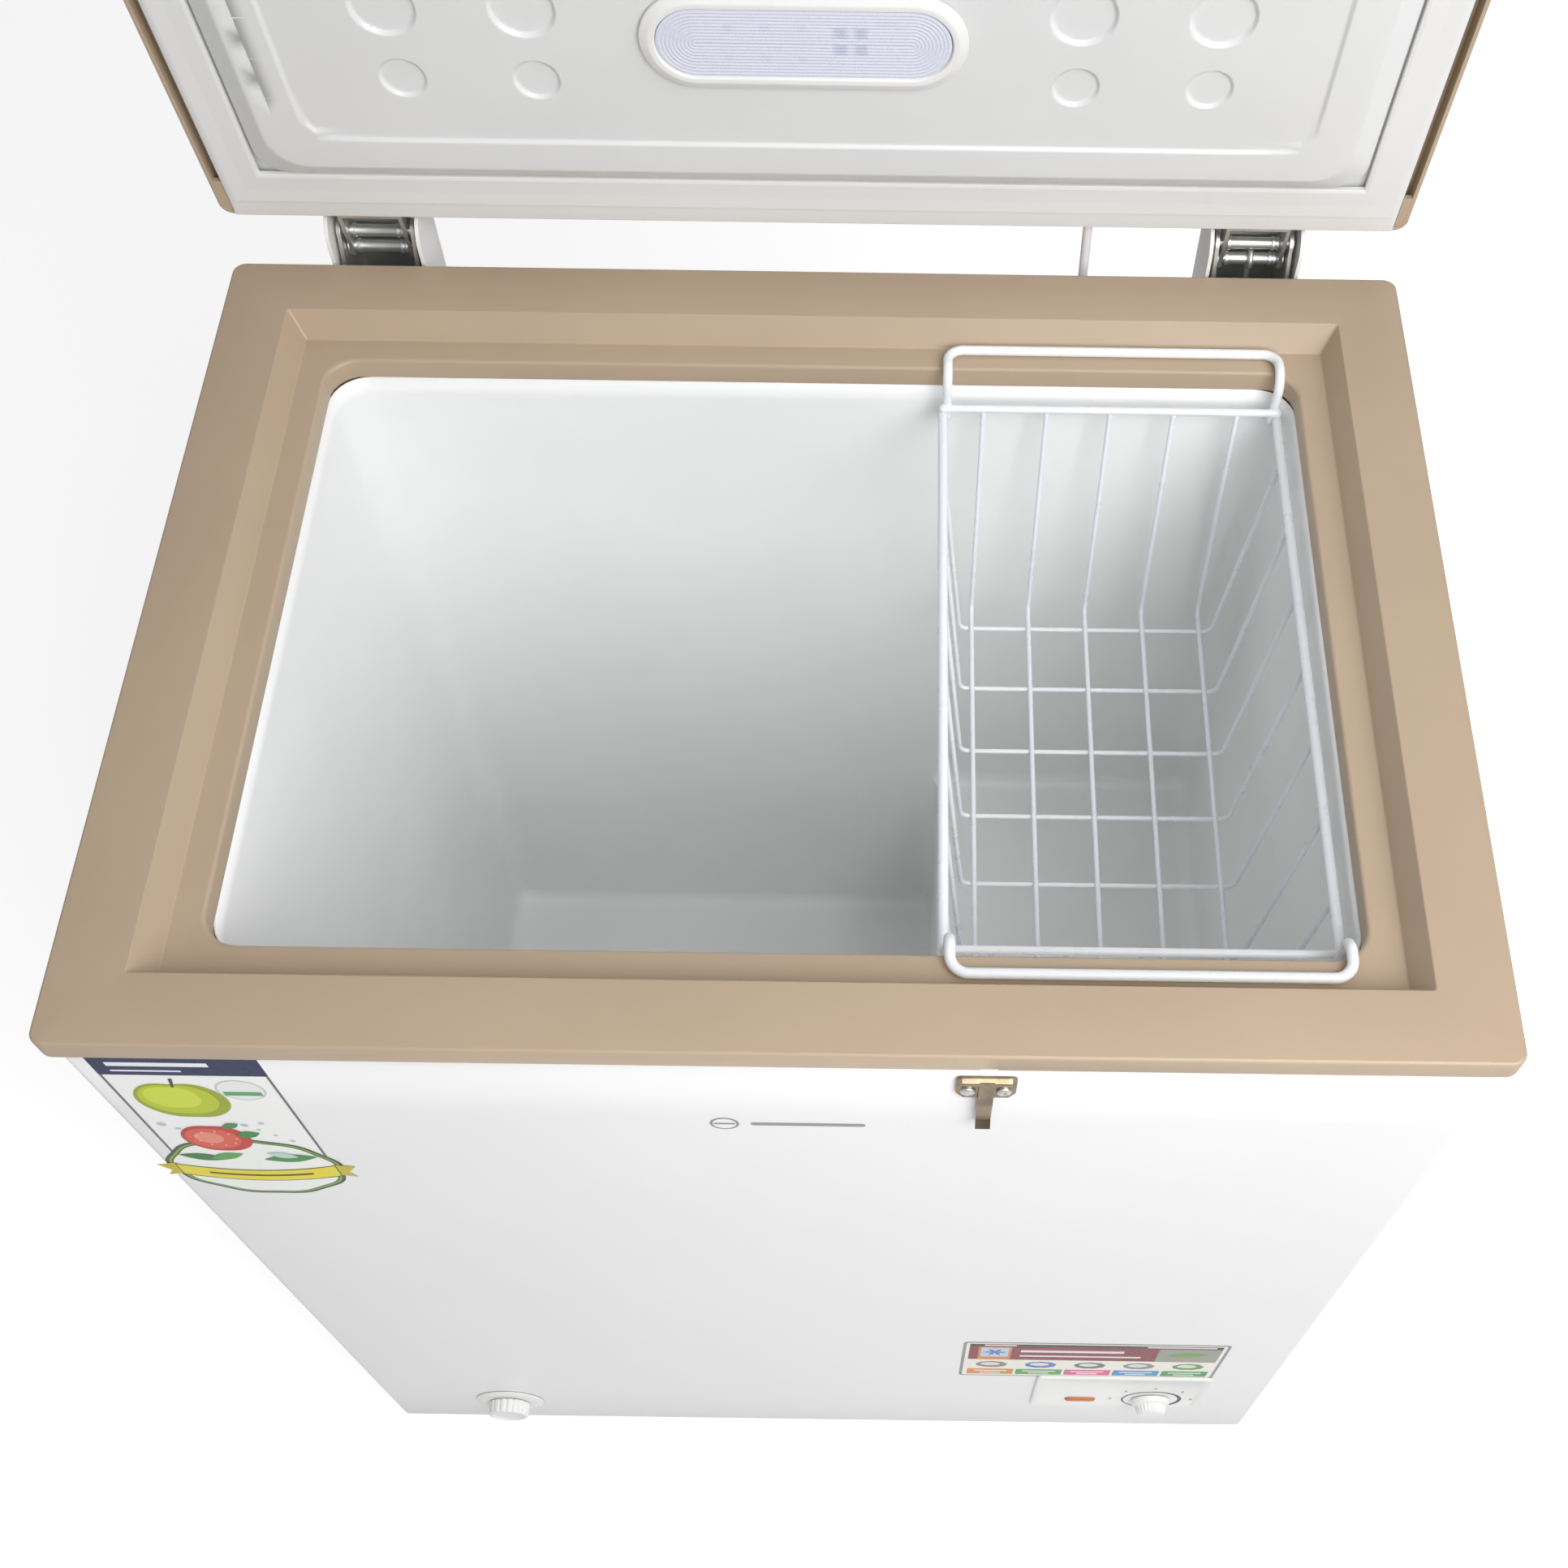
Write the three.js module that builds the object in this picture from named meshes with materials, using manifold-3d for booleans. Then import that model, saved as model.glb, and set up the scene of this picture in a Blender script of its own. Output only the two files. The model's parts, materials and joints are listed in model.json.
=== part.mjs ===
// Chest freezer with its lid standing open and a wire basket hung in the opening.
// Millimetres, +Z up, +X to the right as seen from the front, +Y to the back.
// The origin is under the middle of the whole freezer, on the floor, with the lid open.
// Every outline of the cabinet, collar and lid is the collar's outer rectangle moved inwards
// by an inset, so one width and one depth set them all.
import * as THREE from 'three';
import { mergeVertices } from 'three/addons/utils/BufferGeometryUtils.js';
import { ConvexGeometry } from 'three/addons/geometries/ConvexGeometry.js';
import Module from 'manifold-3d';

const wasm = await Module();
wasm.setup();

// ---- Driving dimensions ----
const gap = 0.3; // clearance between pieces that touch
const wireWeld = 0.6; // how deep crossing basket wires sink into each other

const collarWidth = 735;
const collarDepth = 545;
const collarTop = 802;
const collarWall = 3;
const lipHeight = 15;
const lipCorner = 8;
const rimWidth = 40.5; // flat top of the collar
const recessSlope = 8.5; // how far the recess wall leans inwards
const recessDepth = 17;
const ledgeWidth = 17; // floor of the recess, where the basket hangs
const throatDepth = 14;
const throatCorner = 20;

const sheet = 1; // painted steel
const collarOverhang = 5;
const cabinetBottom = 35;
const cabinetCorner = 6;
const panFloor = 40; // underside of the bottom pan
const bayLeft = 130; // machine bay, from here to the right-hand side
const bayHeight = 240;

const linerWall = 1.2;
const linerFloor = 112;
const humpLeft = 91; // step over the machine bay
const humpTop = 322;
const coilChannel = 10; // room between foam and sheet for the refrigerant tubes

const footRadius = 20;
const footInset = 38;

const lidThickness = 47;
const lidSeat = 0.4; // gasket above the closed rim
const lidFrameWall = 8;
const gasketWidth = 24;
const gasketHeight = 3.6;
const plugInset = 35.5; // foot of the raised inner panel
const plugSlope = 14.5;
const plugHeight = 9;
const innerPanelWall = 1.6;

const lidOpenAngle = THREE.MathUtils.degToRad(82.5);
const pivotBehindCollar = 20.5;
const pivotAboveCollar = 9;
const springArm = 12; // spring pin below the pivot when the lid is open

const hingeOffset = 277; // hinge centre from the middle
const pinRadius = 3;
const pinHead = 5.5;
const earHalf = 20; // outer faces of the lid leaf's ears
const earWall = 2.5;
const cheekHalf = 24.5; // outer faces of the bracket's cheeks
const cheekWall = 2.5;
const coverHalf = 29.5;
const coverWall = 2.5;
const bracketLength = 211;
const bracketDepth = 49.5; // from the cabinet's back to the bracket's web
const guideDrop = 111; // guide plate below the pivot
const springLength = 58;
const springRadius = 9;
const rodRadius = 2;

const basketWidth = 211;
const basketSideRoom = 8.5; // from the throat's right side to the basket's rail
const basketEndRoom = 13.5;
const basketDepth = 168;
const basketRimDrop = 42; // rim below the collar's top
const railRadius = 3;
const rimRodRadius = 2.4;
const wireRadius = 1.6;
const wallTaper = 17; // side walls lean in by this much
const endTaper = 21; // front and back walls lean in by this much
const longWireInset = 25.5; // from a side rail to the first wire along the basket
const crossWireInset = 37; // from an end of the basket to the first wire across it
const handleRoom = 4.5; // from the foot of the recess wall to the basket's handles

const catchX = 104;
const catchTop = 770;
const catchPlateWidth = 31;
const catchPlateHeight = 24;
const tongueWidth = 8;
const tongueBottom = 716;
const tongueFoot = 13; // how far the tongue's foot stands out

const lampHalfLength = 90;
const lampHalfWidth = 31;
const lampFromHinge = 145;
const lensBorder = 9;

const knobRadius = 16;
const knobX = 271;
const controlZ = 129;
const drainX = -260;
const drainZ = 90;
const cableX = 172;
const cableRadius = 3;

// ---- Derived places ----
const halfWidth = collarWidth / 2;
const halfDepth = collarDepth / 2;
const lipBottom = collarTop - lipHeight;
const recessFloor = collarTop - recessDepth;
const recessInset = rimWidth + recessSlope;
const throatInset = recessInset + ledgeWidth;
const throatBottom = recessFloor - throatDepth;
const sheetTop = collarTop - collarWall - 2;
const panelFront = -(halfDepth - collarOverhang);
const panelBack = -panelFront;
const panelSide = halfWidth - collarOverhang;
const bayTop = panFloor + bayHeight;
const pivotY = halfDepth + pivotBehindCollar;
const pivotZ = collarTop + pivotAboveCollar;
const lidBottom = collarTop + lidSeat;
const lidTop = lidBottom + lidThickness;
const basketLeft = halfWidth - throatInset - basketSideRoom - basketWidth;
const basketMiddle = basketLeft + basketWidth / 2;
const basketHalfDepth = halfDepth - throatInset - basketEndRoom;
const handleReach = halfDepth - recessInset - handleRoom;
const rimZ = collarTop - basketRimDrop;

// ---- Materials ----
function finish(color, roughness, metalness = 0) {
  return new THREE.MeshStandardMaterial({ color, roughness, metalness });
}
const materials = {
  beige: finish(0xc6b19b, 0.5),
  white: finish(0xf0f0ef, 0.35),
  liner: finish(0xe6e8e7, 0.4),
  foam: finish(0xe9dfb4, 0.9),
  zinc: finish(0xbfc3c1, 0.3, 1),
  nickel: finish(0xcbbba2, 0.2, 1),
  copper: finish(0xb87345, 0.3, 1),
  black: finish(0x1d1e20, 0.6),
  rubber: finish(0x2a2a2b, 0.85),
  wire: finish(0xf2f5f8, 0.3),
  lens: finish(0xd3d4e6, 0.3),
  board: finish(0xdfe6e0, 0.6),
  amber: finish(0xc0703a, 0.3),
  gasket: finish(0xeeefed, 0.6),
};

// ---- Solids ----
function solid(geometry) {
  const bare = geometry.clone();
  bare.deleteAttribute('normal');
  bare.deleteAttribute('uv');
  const merged = mergeVertices(bare, 1e-4);
  const corners = merged.index.array;
  const kept = [];
  for (let i = 0; i < corners.length; i += 3) {
    const [a, b, c] = [corners[i], corners[i + 1], corners[i + 2]];
    if (a !== b && b !== c && c !== a) kept.push(a, b, c);
  }
  return new wasm.Manifold(new wasm.Mesh({
    numProp: 3,
    vertProperties: new Float32Array(merged.attributes.position.array),
    triVerts: new Uint32Array(kept),
  }));
}

function geometryOf(body) {
  const mesh = body.getMesh();
  const geometry = new THREE.BufferGeometry();
  geometry.setAttribute('position', new THREE.BufferAttribute(mesh.vertProperties, 3));
  geometry.setIndex(new THREE.BufferAttribute(mesh.triVerts, 1));
  return geometry;
}

function union(...bodies) {
  return bodies.reduce((all, body) => all.add(body));
}

function block(x0, x1, y0, y1, z0, z1) {
  const geometry = new THREE.BoxGeometry(x1 - x0, y1 - y0, z1 - z0);
  geometry.translate((x0 + x1) / 2, (y0 + y1) / 2, (z0 + z1) / 2);
  return solid(geometry);
}

function roundedRect(x0, x1, y0, y1, r) {
  const shape = new THREE.Shape();
  if (r <= 0) {
    shape.moveTo(x0, y0).lineTo(x1, y0).lineTo(x1, y1).lineTo(x0, y1).closePath();
    return shape;
  }
  shape.moveTo(x0 + r, y0);
  shape.absarc(x1 - r, y0 + r, r, -Math.PI / 2, 0);
  shape.absarc(x1 - r, y1 - r, r, 0, Math.PI / 2);
  shape.absarc(x0 + r, y1 - r, r, Math.PI / 2, Math.PI);
  shape.absarc(x0 + r, y0 + r, r, Math.PI, Math.PI * 1.5);
  return shape;
}

function extruded(shape, depth, curveSegments = 3) {
  return new THREE.ExtrudeGeometry(shape, { depth, bevelEnabled: false, curveSegments });
}

function prism(shape, z0, z1, curveSegments) {
  return solid(extruded(shape, z1 - z0, curveSegments).translate(0, 0, z0));
}

// The collar's outline moved inwards by inset, from z0 to z1.
function slab(inset, z0, z1, corner = 0) {
  const x = halfWidth - inset;
  const y = halfDepth - inset;
  return prism(roundedRect(-x, x, -y, y, corner), z0, z1);
}

// A four-sided taper between two outlines of the collar, with sharp mitred corners.
function taper(insetA, zA, insetB, zB) {
  const points = [];
  for (const [inset, z] of [[insetA, zA], [insetB, zB]]) {
    for (const sx of [-1, 1]) {
      for (const sy of [-1, 1]) {
        points.push(new THREE.Vector3(sx * (halfWidth - inset), sy * (halfDepth - inset), z));
      }
    }
  }
  return solid(new ConvexGeometry(points));
}

// A shape drawn in Y and Z, carried along X.
function alongX(shape, x0, x1, curveSegments) {
  const geometry = extruded(shape, x1 - x0, curveSegments);
  geometry.applyMatrix4(new THREE.Matrix4().makeBasis(
    new THREE.Vector3(0, 1, 0), new THREE.Vector3(0, 0, 1), new THREE.Vector3(1, 0, 0)));
  return solid(geometry.translate(x0, 0, 0));
}

// A shape drawn in X and Z, carried along Y from yBack towards the front.
function forward(shape, yBack, depth, curveSegments = 9) {
  const geometry = extruded(shape, depth, curveSegments).rotateX(Math.PI / 2);
  return solid(geometry.translate(0, yBack, 0));
}

function outline(points) {
  return new THREE.Shape(points.map(([a, b]) => new THREE.Vector2(a, b)));
}

function disc(x, y, r) {
  return new THREE.Shape().absarc(x, y, r, 0, Math.PI * 2);
}

function stadium(cx, cy, halfLength, r) {
  return roundedRect(cx - halfLength, cx + halfLength, cy - r, cy + r, r - 0.01);
}

function cylinder(radius, from, to, sides = 12) {
  const start = new THREE.Vector3(...from);
  const run = new THREE.Vector3(...to).sub(start);
  const geometry = new THREE.CylinderGeometry(radius, radius, run.length(), sides);
  geometry.translate(0, run.length() / 2, 0);
  const turn = new THREE.Quaternion().setFromUnitVectors(
    new THREE.Vector3(0, 1, 0), run.clone().normalize());
  geometry.applyQuaternion(turn);
  return solid(geometry.translate(...from));
}

// A profile of [radius, height] pairs that starts and ends on the axis, turned about Z.
function turned(profile, sides = 14) {
  const points = profile.map(([r, z]) => new THREE.Vector2(r, z));
  return solid(new THREE.LatheGeometry(points, sides).rotateX(Math.PI / 2));
}

// The same, turned about X and centred on a point.
function turnedAlongX(profile, centre, sides = 12) {
  const points = profile.map(([r, x]) => new THREE.Vector2(r, x));
  const geometry = new THREE.LatheGeometry(points, sides).rotateZ(-Math.PI / 2);
  return solid(geometry.translate(...centre));
}

// A path whose tube has one ring at each of its stations.
class StationPath extends THREE.Curve {
  constructor(stations) {
    super();
    this.stations = stations;
  }

  getPoint(t, target = new THREE.Vector3()) {
    const last = this.stations.length - 1;
    const place = Math.min(Math.max(t, 0), 1) * last;
    const i = Math.min(Math.floor(place), last - 1);
    return target.copy(this.stations[i]).lerp(this.stations[i + 1], place - i);
  }

  getPointAt(u, target) {
    return this.getPoint(u, target);
  }

  getTangentAt(u, target) {
    return this.getTangent(u, target);
  }
}

// Stations of a bent wire: straight runs with a round bend at each inner point.
function bent(points, bendRadius, bendSteps = 3) {
  const corners = points.map((p) => new THREE.Vector3(...p));
  const stations = [corners[0]];
  for (let i = 1; i < corners.length - 1; i += 1) {
    const into = corners[i - 1].clone().sub(corners[i]).setLength(bendRadius).add(corners[i]);
    const out = corners[i + 1].clone().sub(corners[i]).setLength(bendRadius).add(corners[i]);
    const bend = new THREE.QuadraticBezierCurve3(into, corners[i], out);
    stations.push(...bend.getPoints(bendSteps));
  }
  stations.push(corners.at(-1));
  return stations;
}

function wire(stations, radius, sides = 6) {
  const section = new THREE.Shape();
  for (let i = 0; i < sides; i += 1) {
    const angle = (i / sides) * Math.PI * 2;
    const [x, y] = [radius * Math.cos(angle), radius * Math.sin(angle)];
    if (i === 0) section.moveTo(x, y);
    else section.lineTo(x, y);
  }
  section.closePath();
  const steps = stations.length - 1;
  const extrudePath = new StationPath(stations);
  return solid(new THREE.ExtrudeGeometry(section, { steps, bevelEnabled: false, extrudePath }));
}

// ---- Groups ----
const freezer = new THREE.Group();
const lidHinge = new THREE.Group(); // turns about the hinge pins
const lid = new THREE.Group(); // holds the lid's pieces as they lie when it is shut
lidHinge.position.set(0, pivotY, pivotZ);
lidHinge.rotation.x = -lidOpenAngle;
lid.position.set(0, -pivotY, -pivotZ);
lidHinge.add(lid);
freezer.add(lidHinge);

function place(name, body, material, group = freezer) {
  const geometry = geometryOf(body).toNonIndexed();
  geometry.computeVertexNormals();
  const mesh = new THREE.Mesh(geometry, materials[material]);
  mesh.name = name;
  group.add(mesh);
}

// ---- Cabinet ----
const controlPanel = { x0: 174, x1: 313, z0: 104, z1: 192, depth: 2.2 };
const runLamp = { x: 213.5, halfLength: 12.5, radius: 4.5 };
const catchScrewX = 9.2;
const catchScrewZ = catchTop - 15.5;
const catchScrewRadius = 2;
const drainBore = 8;
const drainWall = 2;
const shaftRadius = 3;
const grille = { x0: 142, x1: 348, z0: 62, z1: 258, slots: 8 };
const grilleBorder = 14;
const gland = { x: 300, z: 48, radius: 6 };
const cableHoleZ = 706;

// Everything between the cabinet's sheets, short of them by clear.
function insideSheets(clear) {
  const side = panelSide - sheet - clear;
  const depth = panelBack - sheet - clear;
  return prism(roundedRect(-side, side, -depth, depth, cabinetCorner - sheet), 0, collarTop, 3);
}

function frontHole(shape, curveSegments) {
  return forward(shape, panelFront + 2 * sheet, 4 * sheet, curveSegments);
}

function cabinetWrapper() {
  const outer = roundedRect(-panelSide, panelSide, panelFront, panelBack + cabinetCorner, cabinetCorner);
  const inner = roundedRect(-panelSide + sheet, panelSide - sheet, panelFront + sheet,
    panelBack + 2 * cabinetCorner, cabinetCorner - sheet);
  const openBack = block(-panelSide - 1, panelSide + 1, panelBack, panelBack + 3 * cabinetCorner,
    cabinetBottom - 1, sheetTop + 1);
  const holes = [
    frontHole(disc(knobX, controlZ, shaftRadius + gap)),
    frontHole(stadium(runLamp.x, controlZ, runLamp.halfLength + gap, runLamp.radius + gap), 4),
    frontHole(disc(drainX, drainZ, drainBore + drainWall + gap)),
    frontHole(disc(catchX - catchScrewX, catchScrewZ, catchScrewRadius + gap)),
    frontHole(disc(catchX + catchScrewX, catchScrewZ, catchScrewRadius + gap)),
  ];
  let body = prism(outer, cabinetBottom, sheetTop, 3).subtract(prism(inner, 0, collarTop + 1, 3));
  body = body.subtract(openBack);
  for (const hole of holes) body = body.subtract(hole);
  return body;
}

function backPanel() {
  const side = panelSide - sheet - gap;
  const body = block(-side, side, panelBack - sheet, panelBack, cabinetBottom, sheetTop);
  const vent = block(grille.x0 + grilleBorder, grille.x1 - grilleBorder, panelBack - 5, panelBack + 5,
    grille.z0 + grilleBorder, grille.z1 - grilleBorder);
  const back = (shape) => forward(shape, panelBack + 2 * sheet, 4 * sheet);
  return body.subtract(vent).subtract(back(disc(gland.x, gland.z, gland.radius + gap)))
    .subtract(back(disc(cableX, cableHoleZ, cableRadius + 1.5 + gap)));
}

function bottomPan() {
  const side = panelSide - sheet - gap;
  const depth = panelBack - sheet - gap;
  const folded = outline([
    [-side, panFloor], [bayLeft, panFloor], [bayLeft, bayTop], [side, bayTop],
    [side, bayTop + sheet], [bayLeft - sheet, bayTop + sheet], [bayLeft - sheet, panFloor + sheet],
    [-side, panFloor + sheet],
  ]);
  return forward(folded, depth, 2 * depth).intersect(insideSheets(gap));
}

place('cabinet_wrapper', cabinetWrapper(), 'white');
place('back_panel', backPanel(), 'white');
place('bottom_pan', bottomPan(), 'zinc');
place('compressor_tray', block(bayLeft + gap, panelSide, panelFront, panelBack, panFloor, panFloor + 2)
  .intersect(insideSheets(gap)), 'zinc');

function foot() {
  const top = panFloor - gap;
  return turned([[0, 0], [footRadius - 3, 0], [footRadius, 3], [footRadius, 8], [8, 14], [8, top - 6],
    [14, top - 6], [14, top], [0, top]]);
}
for (const [side, sx] of [['left', -1], ['right', 1]]) {
  for (const [end, sy] of [['front', -1], ['rear', 1]]) {
    const at = [sx * (halfWidth - footInset), sy * (halfDepth - footInset), 0];
    place(`foot_${end}_${side}`, foot().translate(at), 'black');
  }
}

// ---- Collar ----
function collar() {
  const underRim = collarTop - collarWall;
  const lean = recessSlope / recessDepth;
  const rim = slab(0, underRim, collarTop, lipCorner);
  const lip = slab(0, lipBottom, collarTop, lipCorner)
    .subtract(slab(collarWall, lipBottom - 1, collarTop + 1, lipCorner - collarWall));
  const slope = taper(rimWidth - collarWall, collarTop, recessInset - collarWall, recessFloor)
    .subtract(taper(recessInset, recessFloor + 1, recessInset, recessFloor - 1));
  const ledge = slab(recessInset - collarWall, recessFloor - collarWall, recessFloor);
  const throat = slab(throatInset - collarWall, throatBottom, recessFloor, throatCorner + collarWall);
  const recess = taper(rimWidth - lean, collarTop + 1, recessInset, recessFloor);
  const opening = slab(throatInset, throatBottom - 1, collarTop, throatCorner);
  const tongueNotch = block(catchX - tongueWidth / 2, catchX + tongueWidth / 2, -halfDepth - 1,
    -halfDepth + 0.8, lipBottom - 1, collarTop - 4);
  return union(rim, lip, slope, ledge, throat).subtract(recess).subtract(opening).subtract(tongueNotch);
}
place('collar', collar(), 'beige');

// ---- Inner liner, foam and drain ----
// The space inside the liner, grown outwards: full width above the step, its left part below.
function cavity(grow, top) {
  const x = halfWidth - throatInset + grow;
  const y = halfDepth - throatInset + grow;
  const corner = throatCorner + grow;
  const upper = prism(roundedRect(-x, x, -y, y, corner), humpTop - grow, top);
  const lower = prism(roundedRect(-x, humpLeft + grow, -y, y, corner), linerFloor - grow, humpTop + 1);
  return upper.add(lower);
}

const drainY = -halfDepth + throatInset + 22;
function drainRun(radius, top) {
  return union(
    cylinder(radius, [drainX, drainY, drainZ - radius], [drainX, drainY, top], 16),
    cylinder(radius, [drainX, drainY, drainZ], [drainX, panelFront - 9, drainZ], 16));
}

function liner() {
  const open = cavity(0, collarTop);
  const shell = cavity(linerWall, throatBottom - gap);
  return shell.subtract(open).subtract(
    cylinder(drainBore, [drainX, drainY, linerFloor - 5], [drainX, drainY, linerFloor + 5], 16));
}

function foam() {
  const side = panelSide - sheet - coilChannel;
  const depth = panelBack - sheet - coilChannel;
  const all = block(-side, side, -depth, depth, panFloor + sheet + gap, recessFloor - collarWall - gap);
  const bay = block(bayLeft - sheet - gap, panelSide, -panelBack, panelBack, 0, bayTop + sheet + gap);
  const floorClear = linerFloor - linerWall - gap;
  const under = block(-halfWidth, humpLeft, -halfDepth, halfDepth, 0, floorClear);
  const room = cavity(linerWall + coilChannel, collarTop).subtract(under)
    .subtract(block(humpLeft + linerWall + gap, halfWidth, -halfDepth, halfDepth, 0,
      humpTop - linerWall - gap));
  return all.subtract(bay).subtract(room).subtract(drainRun(drainBore + drainWall + gap, floorClear + 1));
}

place('inner_liner', liner(), 'liner');
place('foam_insulation', foam(), 'foam');

const drainTop = linerFloor - linerWall - gap;
place('drain_tube', drainRun(drainBore + drainWall, drainTop).subtract(union(
  cylinder(drainBore, [drainX, drainY, drainZ - drainBore], [drainX, drainY, drainTop + 1], 16),
  cylinder(drainBore, [drainX, drainY, drainZ], [drainX, panelFront - 20, drainZ], 16))), 'white');
place('drain_plug', turned([[0, -9], [5.5, -9], [drainBore - gap, 0.3], [12, 0.3], [12, 2.5], [4, 3.5],
  [4, 6], [0, 6]], 16).translate([drainX, drainY, linerFloor]), 'rubber');

const capRadius = 17;
const capFront = panelFront - 14;
function drainCap() {
  const ribs = 18;
  const rim = new THREE.Shape();
  for (let i = 0; i < 2 * ribs; i += 1) {
    const angle = (i / (2 * ribs)) * Math.PI * 2;
    const r = i % 2 ? capRadius : capRadius - 1;
    const [x, z] = [drainX + r * Math.cos(angle), drainZ + r * Math.sin(angle)];
    if (i === 0) rim.moveTo(x, z);
    else rim.lineTo(x, z);
  }
  rim.closePath();
  const depth = panelFront - 3 - capFront;
  return forward(rim, panelFront - 3, depth).subtract(
    forward(disc(drainX, drainZ, drainBore + drainWall + gap), panelFront - 2, depth - 2));
}
place('drain_cap', drainCap(), 'white');
place('drain_escutcheon', forward(disc(drainX, drainZ, 28), panelFront - gap, 2.4, 10)
  .subtract(forward(disc(drainX, drainZ, drainBore + drainWall + gap), panelFront + 1, 5)), 'white');

// ---- Refrigeration ----
function evaporatorCoil() {
  const radius = 3;
  const grow = linerWall + coilChannel / 2;
  const x = halfWidth - throatInset + grow;
  const y = halfDepth - throatInset + grow;
  const loops = 5;
  const bottom = humpTop + 30;
  const pitch = (throatBottom - 25 - bottom) / loops;
  const corners = [[0, -y, bottom]];
  for (let i = 0; i < loops; i += 1) {
    const z = bottom + i * pitch;
    corners.push([x, -y, z], [x, y, z], [-x, y, z + pitch / 2], [-x, -y, z + pitch]);
  }
  corners.push([0, -y, bottom + loops * pitch]);
  return wire(bent(corners, throatCorner + grow, 2), radius);
}

function condenserCoil() {
  const radius = 2.5;
  const y = panelBack - sheet - coilChannel / 2;
  const x = panelSide - 45;
  const passes = 8;
  const bottom = bayTop + 40;
  const pitch = (throatBottom - 30 - bottom) / (passes - 1);
  const corners = [];
  for (let i = 0; i < passes; i += 1) {
    const side = i % 2 ? -1 : 1;
    corners.push([-side * x, y, bottom + i * pitch], [side * x, y, bottom + i * pitch]);
  }
  return wire(bent(corners, pitch / 2, 2), radius);
}

const compressor = { x: 248, y: 120, radius: 70, foot: 55, height: 150, feetX: 82, feetY: 62 };
function compressorBody() {
  const { radius, foot: base, height } = compressor;
  const shell = turned([[0, 0], [radius * 0.8, 0], [radius * 0.97, height * 0.12], [radius, height * 0.3],
    [radius * 1.03, height * 0.45], [radius, height * 0.6], [radius * 0.9, height * 0.82],
    [radius * 0.6, height * 0.96], [0, height]], 20).translate([compressor.x, compressor.y, base]);
  const plate = block(compressor.x - compressor.feetX - 14, compressor.x + compressor.feetX + 14,
    compressor.y - compressor.feetY - 14, compressor.y + compressor.feetY + 14, base, base + 3);
  return union(shell, plate);
}

place('evaporator_coil', evaporatorCoil(), 'copper');
place('condenser_coil', condenserCoil(), 'copper');
place('compressor', compressorBody(), 'black');
let mount = 0;
for (const sx of [-1, 1]) {
  for (const sy of [-1, 1]) {
    mount += 1;
    const at = [
      compressor.x + sx * compressor.feetX, compressor.y + sy * compressor.feetY, panFloor + 2 + gap,
    ];
    const height = compressor.foot - gap - at[2];
    const waisted = [[0, 0], [12, 0], [9, height / 2], [12, height], [0, height]];
    place(`compressor_mount_${mount}`, turned(waisted, 12).translate(at), 'rubber');
  }
}
place('suction_pipe', wire(bent([
  [compressor.x - 40, compressor.y - 80, 150], [compressor.x - 40, compressor.y - 100, 150],
  [compressor.x - 40, compressor.y - 100, 240], [compressor.x - 80, compressor.y - 100, 240],
  [compressor.x - 80, compressor.y - 100, bayTop - gap]], 14), 4), 'copper');
place('filter_drier', turned([
  [0, 0], [2.5, 0], [2.5, 14], [8, 24], [8, 104], [2.5, 114], [2.5, 130], [0, 130],
], 12)
  .translate([bayLeft + 24, compressor.y - 150, 90]), 'copper');

// ---- Controls ----
const panelSkin = panelFront - gap;
place('control_panel', forward(
  roundedRect(controlPanel.x0, controlPanel.x1, controlPanel.z0, controlPanel.z1, 3),
  panelSkin, controlPanel.depth, 2).subtract(union(
  forward(disc(knobX, controlZ, shaftRadius + gap), panelSkin + 1, 5),
  forward(stadium(runLamp.x, controlZ, runLamp.halfLength + gap, runLamp.radius + gap),
    panelSkin + 1, 5, 4))),
'white');
place('run_lamp', forward(
  stadium(runLamp.x, controlZ, runLamp.halfLength, runLamp.radius), panelFront + 14, 18.2, 4),
'amber');
const panelFace = panelSkin - controlPanel.depth;
const knobDepth = 12;
place('thermostat', union(
  block(knobX - 22, knobX + 22, panelFront + 6, panelFront + 34, controlZ - 17, controlZ + 17),
  cylinder(shaftRadius, [knobX, panelFront + 8, controlZ], [knobX, panelFace - knobDepth + 4, controlZ], 12)),
'zinc');
place('thermostat_knob', union(
  forward(disc(knobX, controlZ, knobRadius), panelFace - gap, 5, 12),
  forward(disc(knobX, controlZ, knobRadius - 2.5), panelFace - gap, knobDepth, 12))
  .subtract(forward(disc(knobX, controlZ, shaftRadius + gap), panelFace, knobDepth - 3)), 'white');

// ---- Back of the machine bay ----
function rearGrille() {
  const sheetFace = roundedRect(grille.x0, grille.x1, grille.z0, grille.z1, 6);
  let body = forward(sheetFace, panelBack + gap + 2.5, 2.5, 3);
  const pitch = (grille.z1 - grille.z0 - 2 * grilleBorder - 12) / grille.slots;
  for (let i = 0; i < grille.slots; i += 1) {
    const z = grille.z0 + grilleBorder + 6 + i * pitch;
    body = body.subtract(block(grille.x0 + 2 * grilleBorder, grille.x1 - 2 * grilleBorder,
      panelBack - 5, panelBack + 9, z, z + pitch * 0.55));
  }
  return body;
}
place('rear_grille', rearGrille(), 'black');
const throughBack = (radius, y0, y1, x, z) =>
  cylinder(radius, [x, panelBack + y0, z], [x, panelBack + y1, z]);
place('cord_gland', throughBack(gland.radius, -12, gap + 1, gland.x, gland.z)
  .add(throughBack(gland.radius + 4, gap, 6, gland.x, gland.z))
  .subtract(throughBack(3.2, -6, 9, gland.x, gland.z)), 'black');

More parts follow.
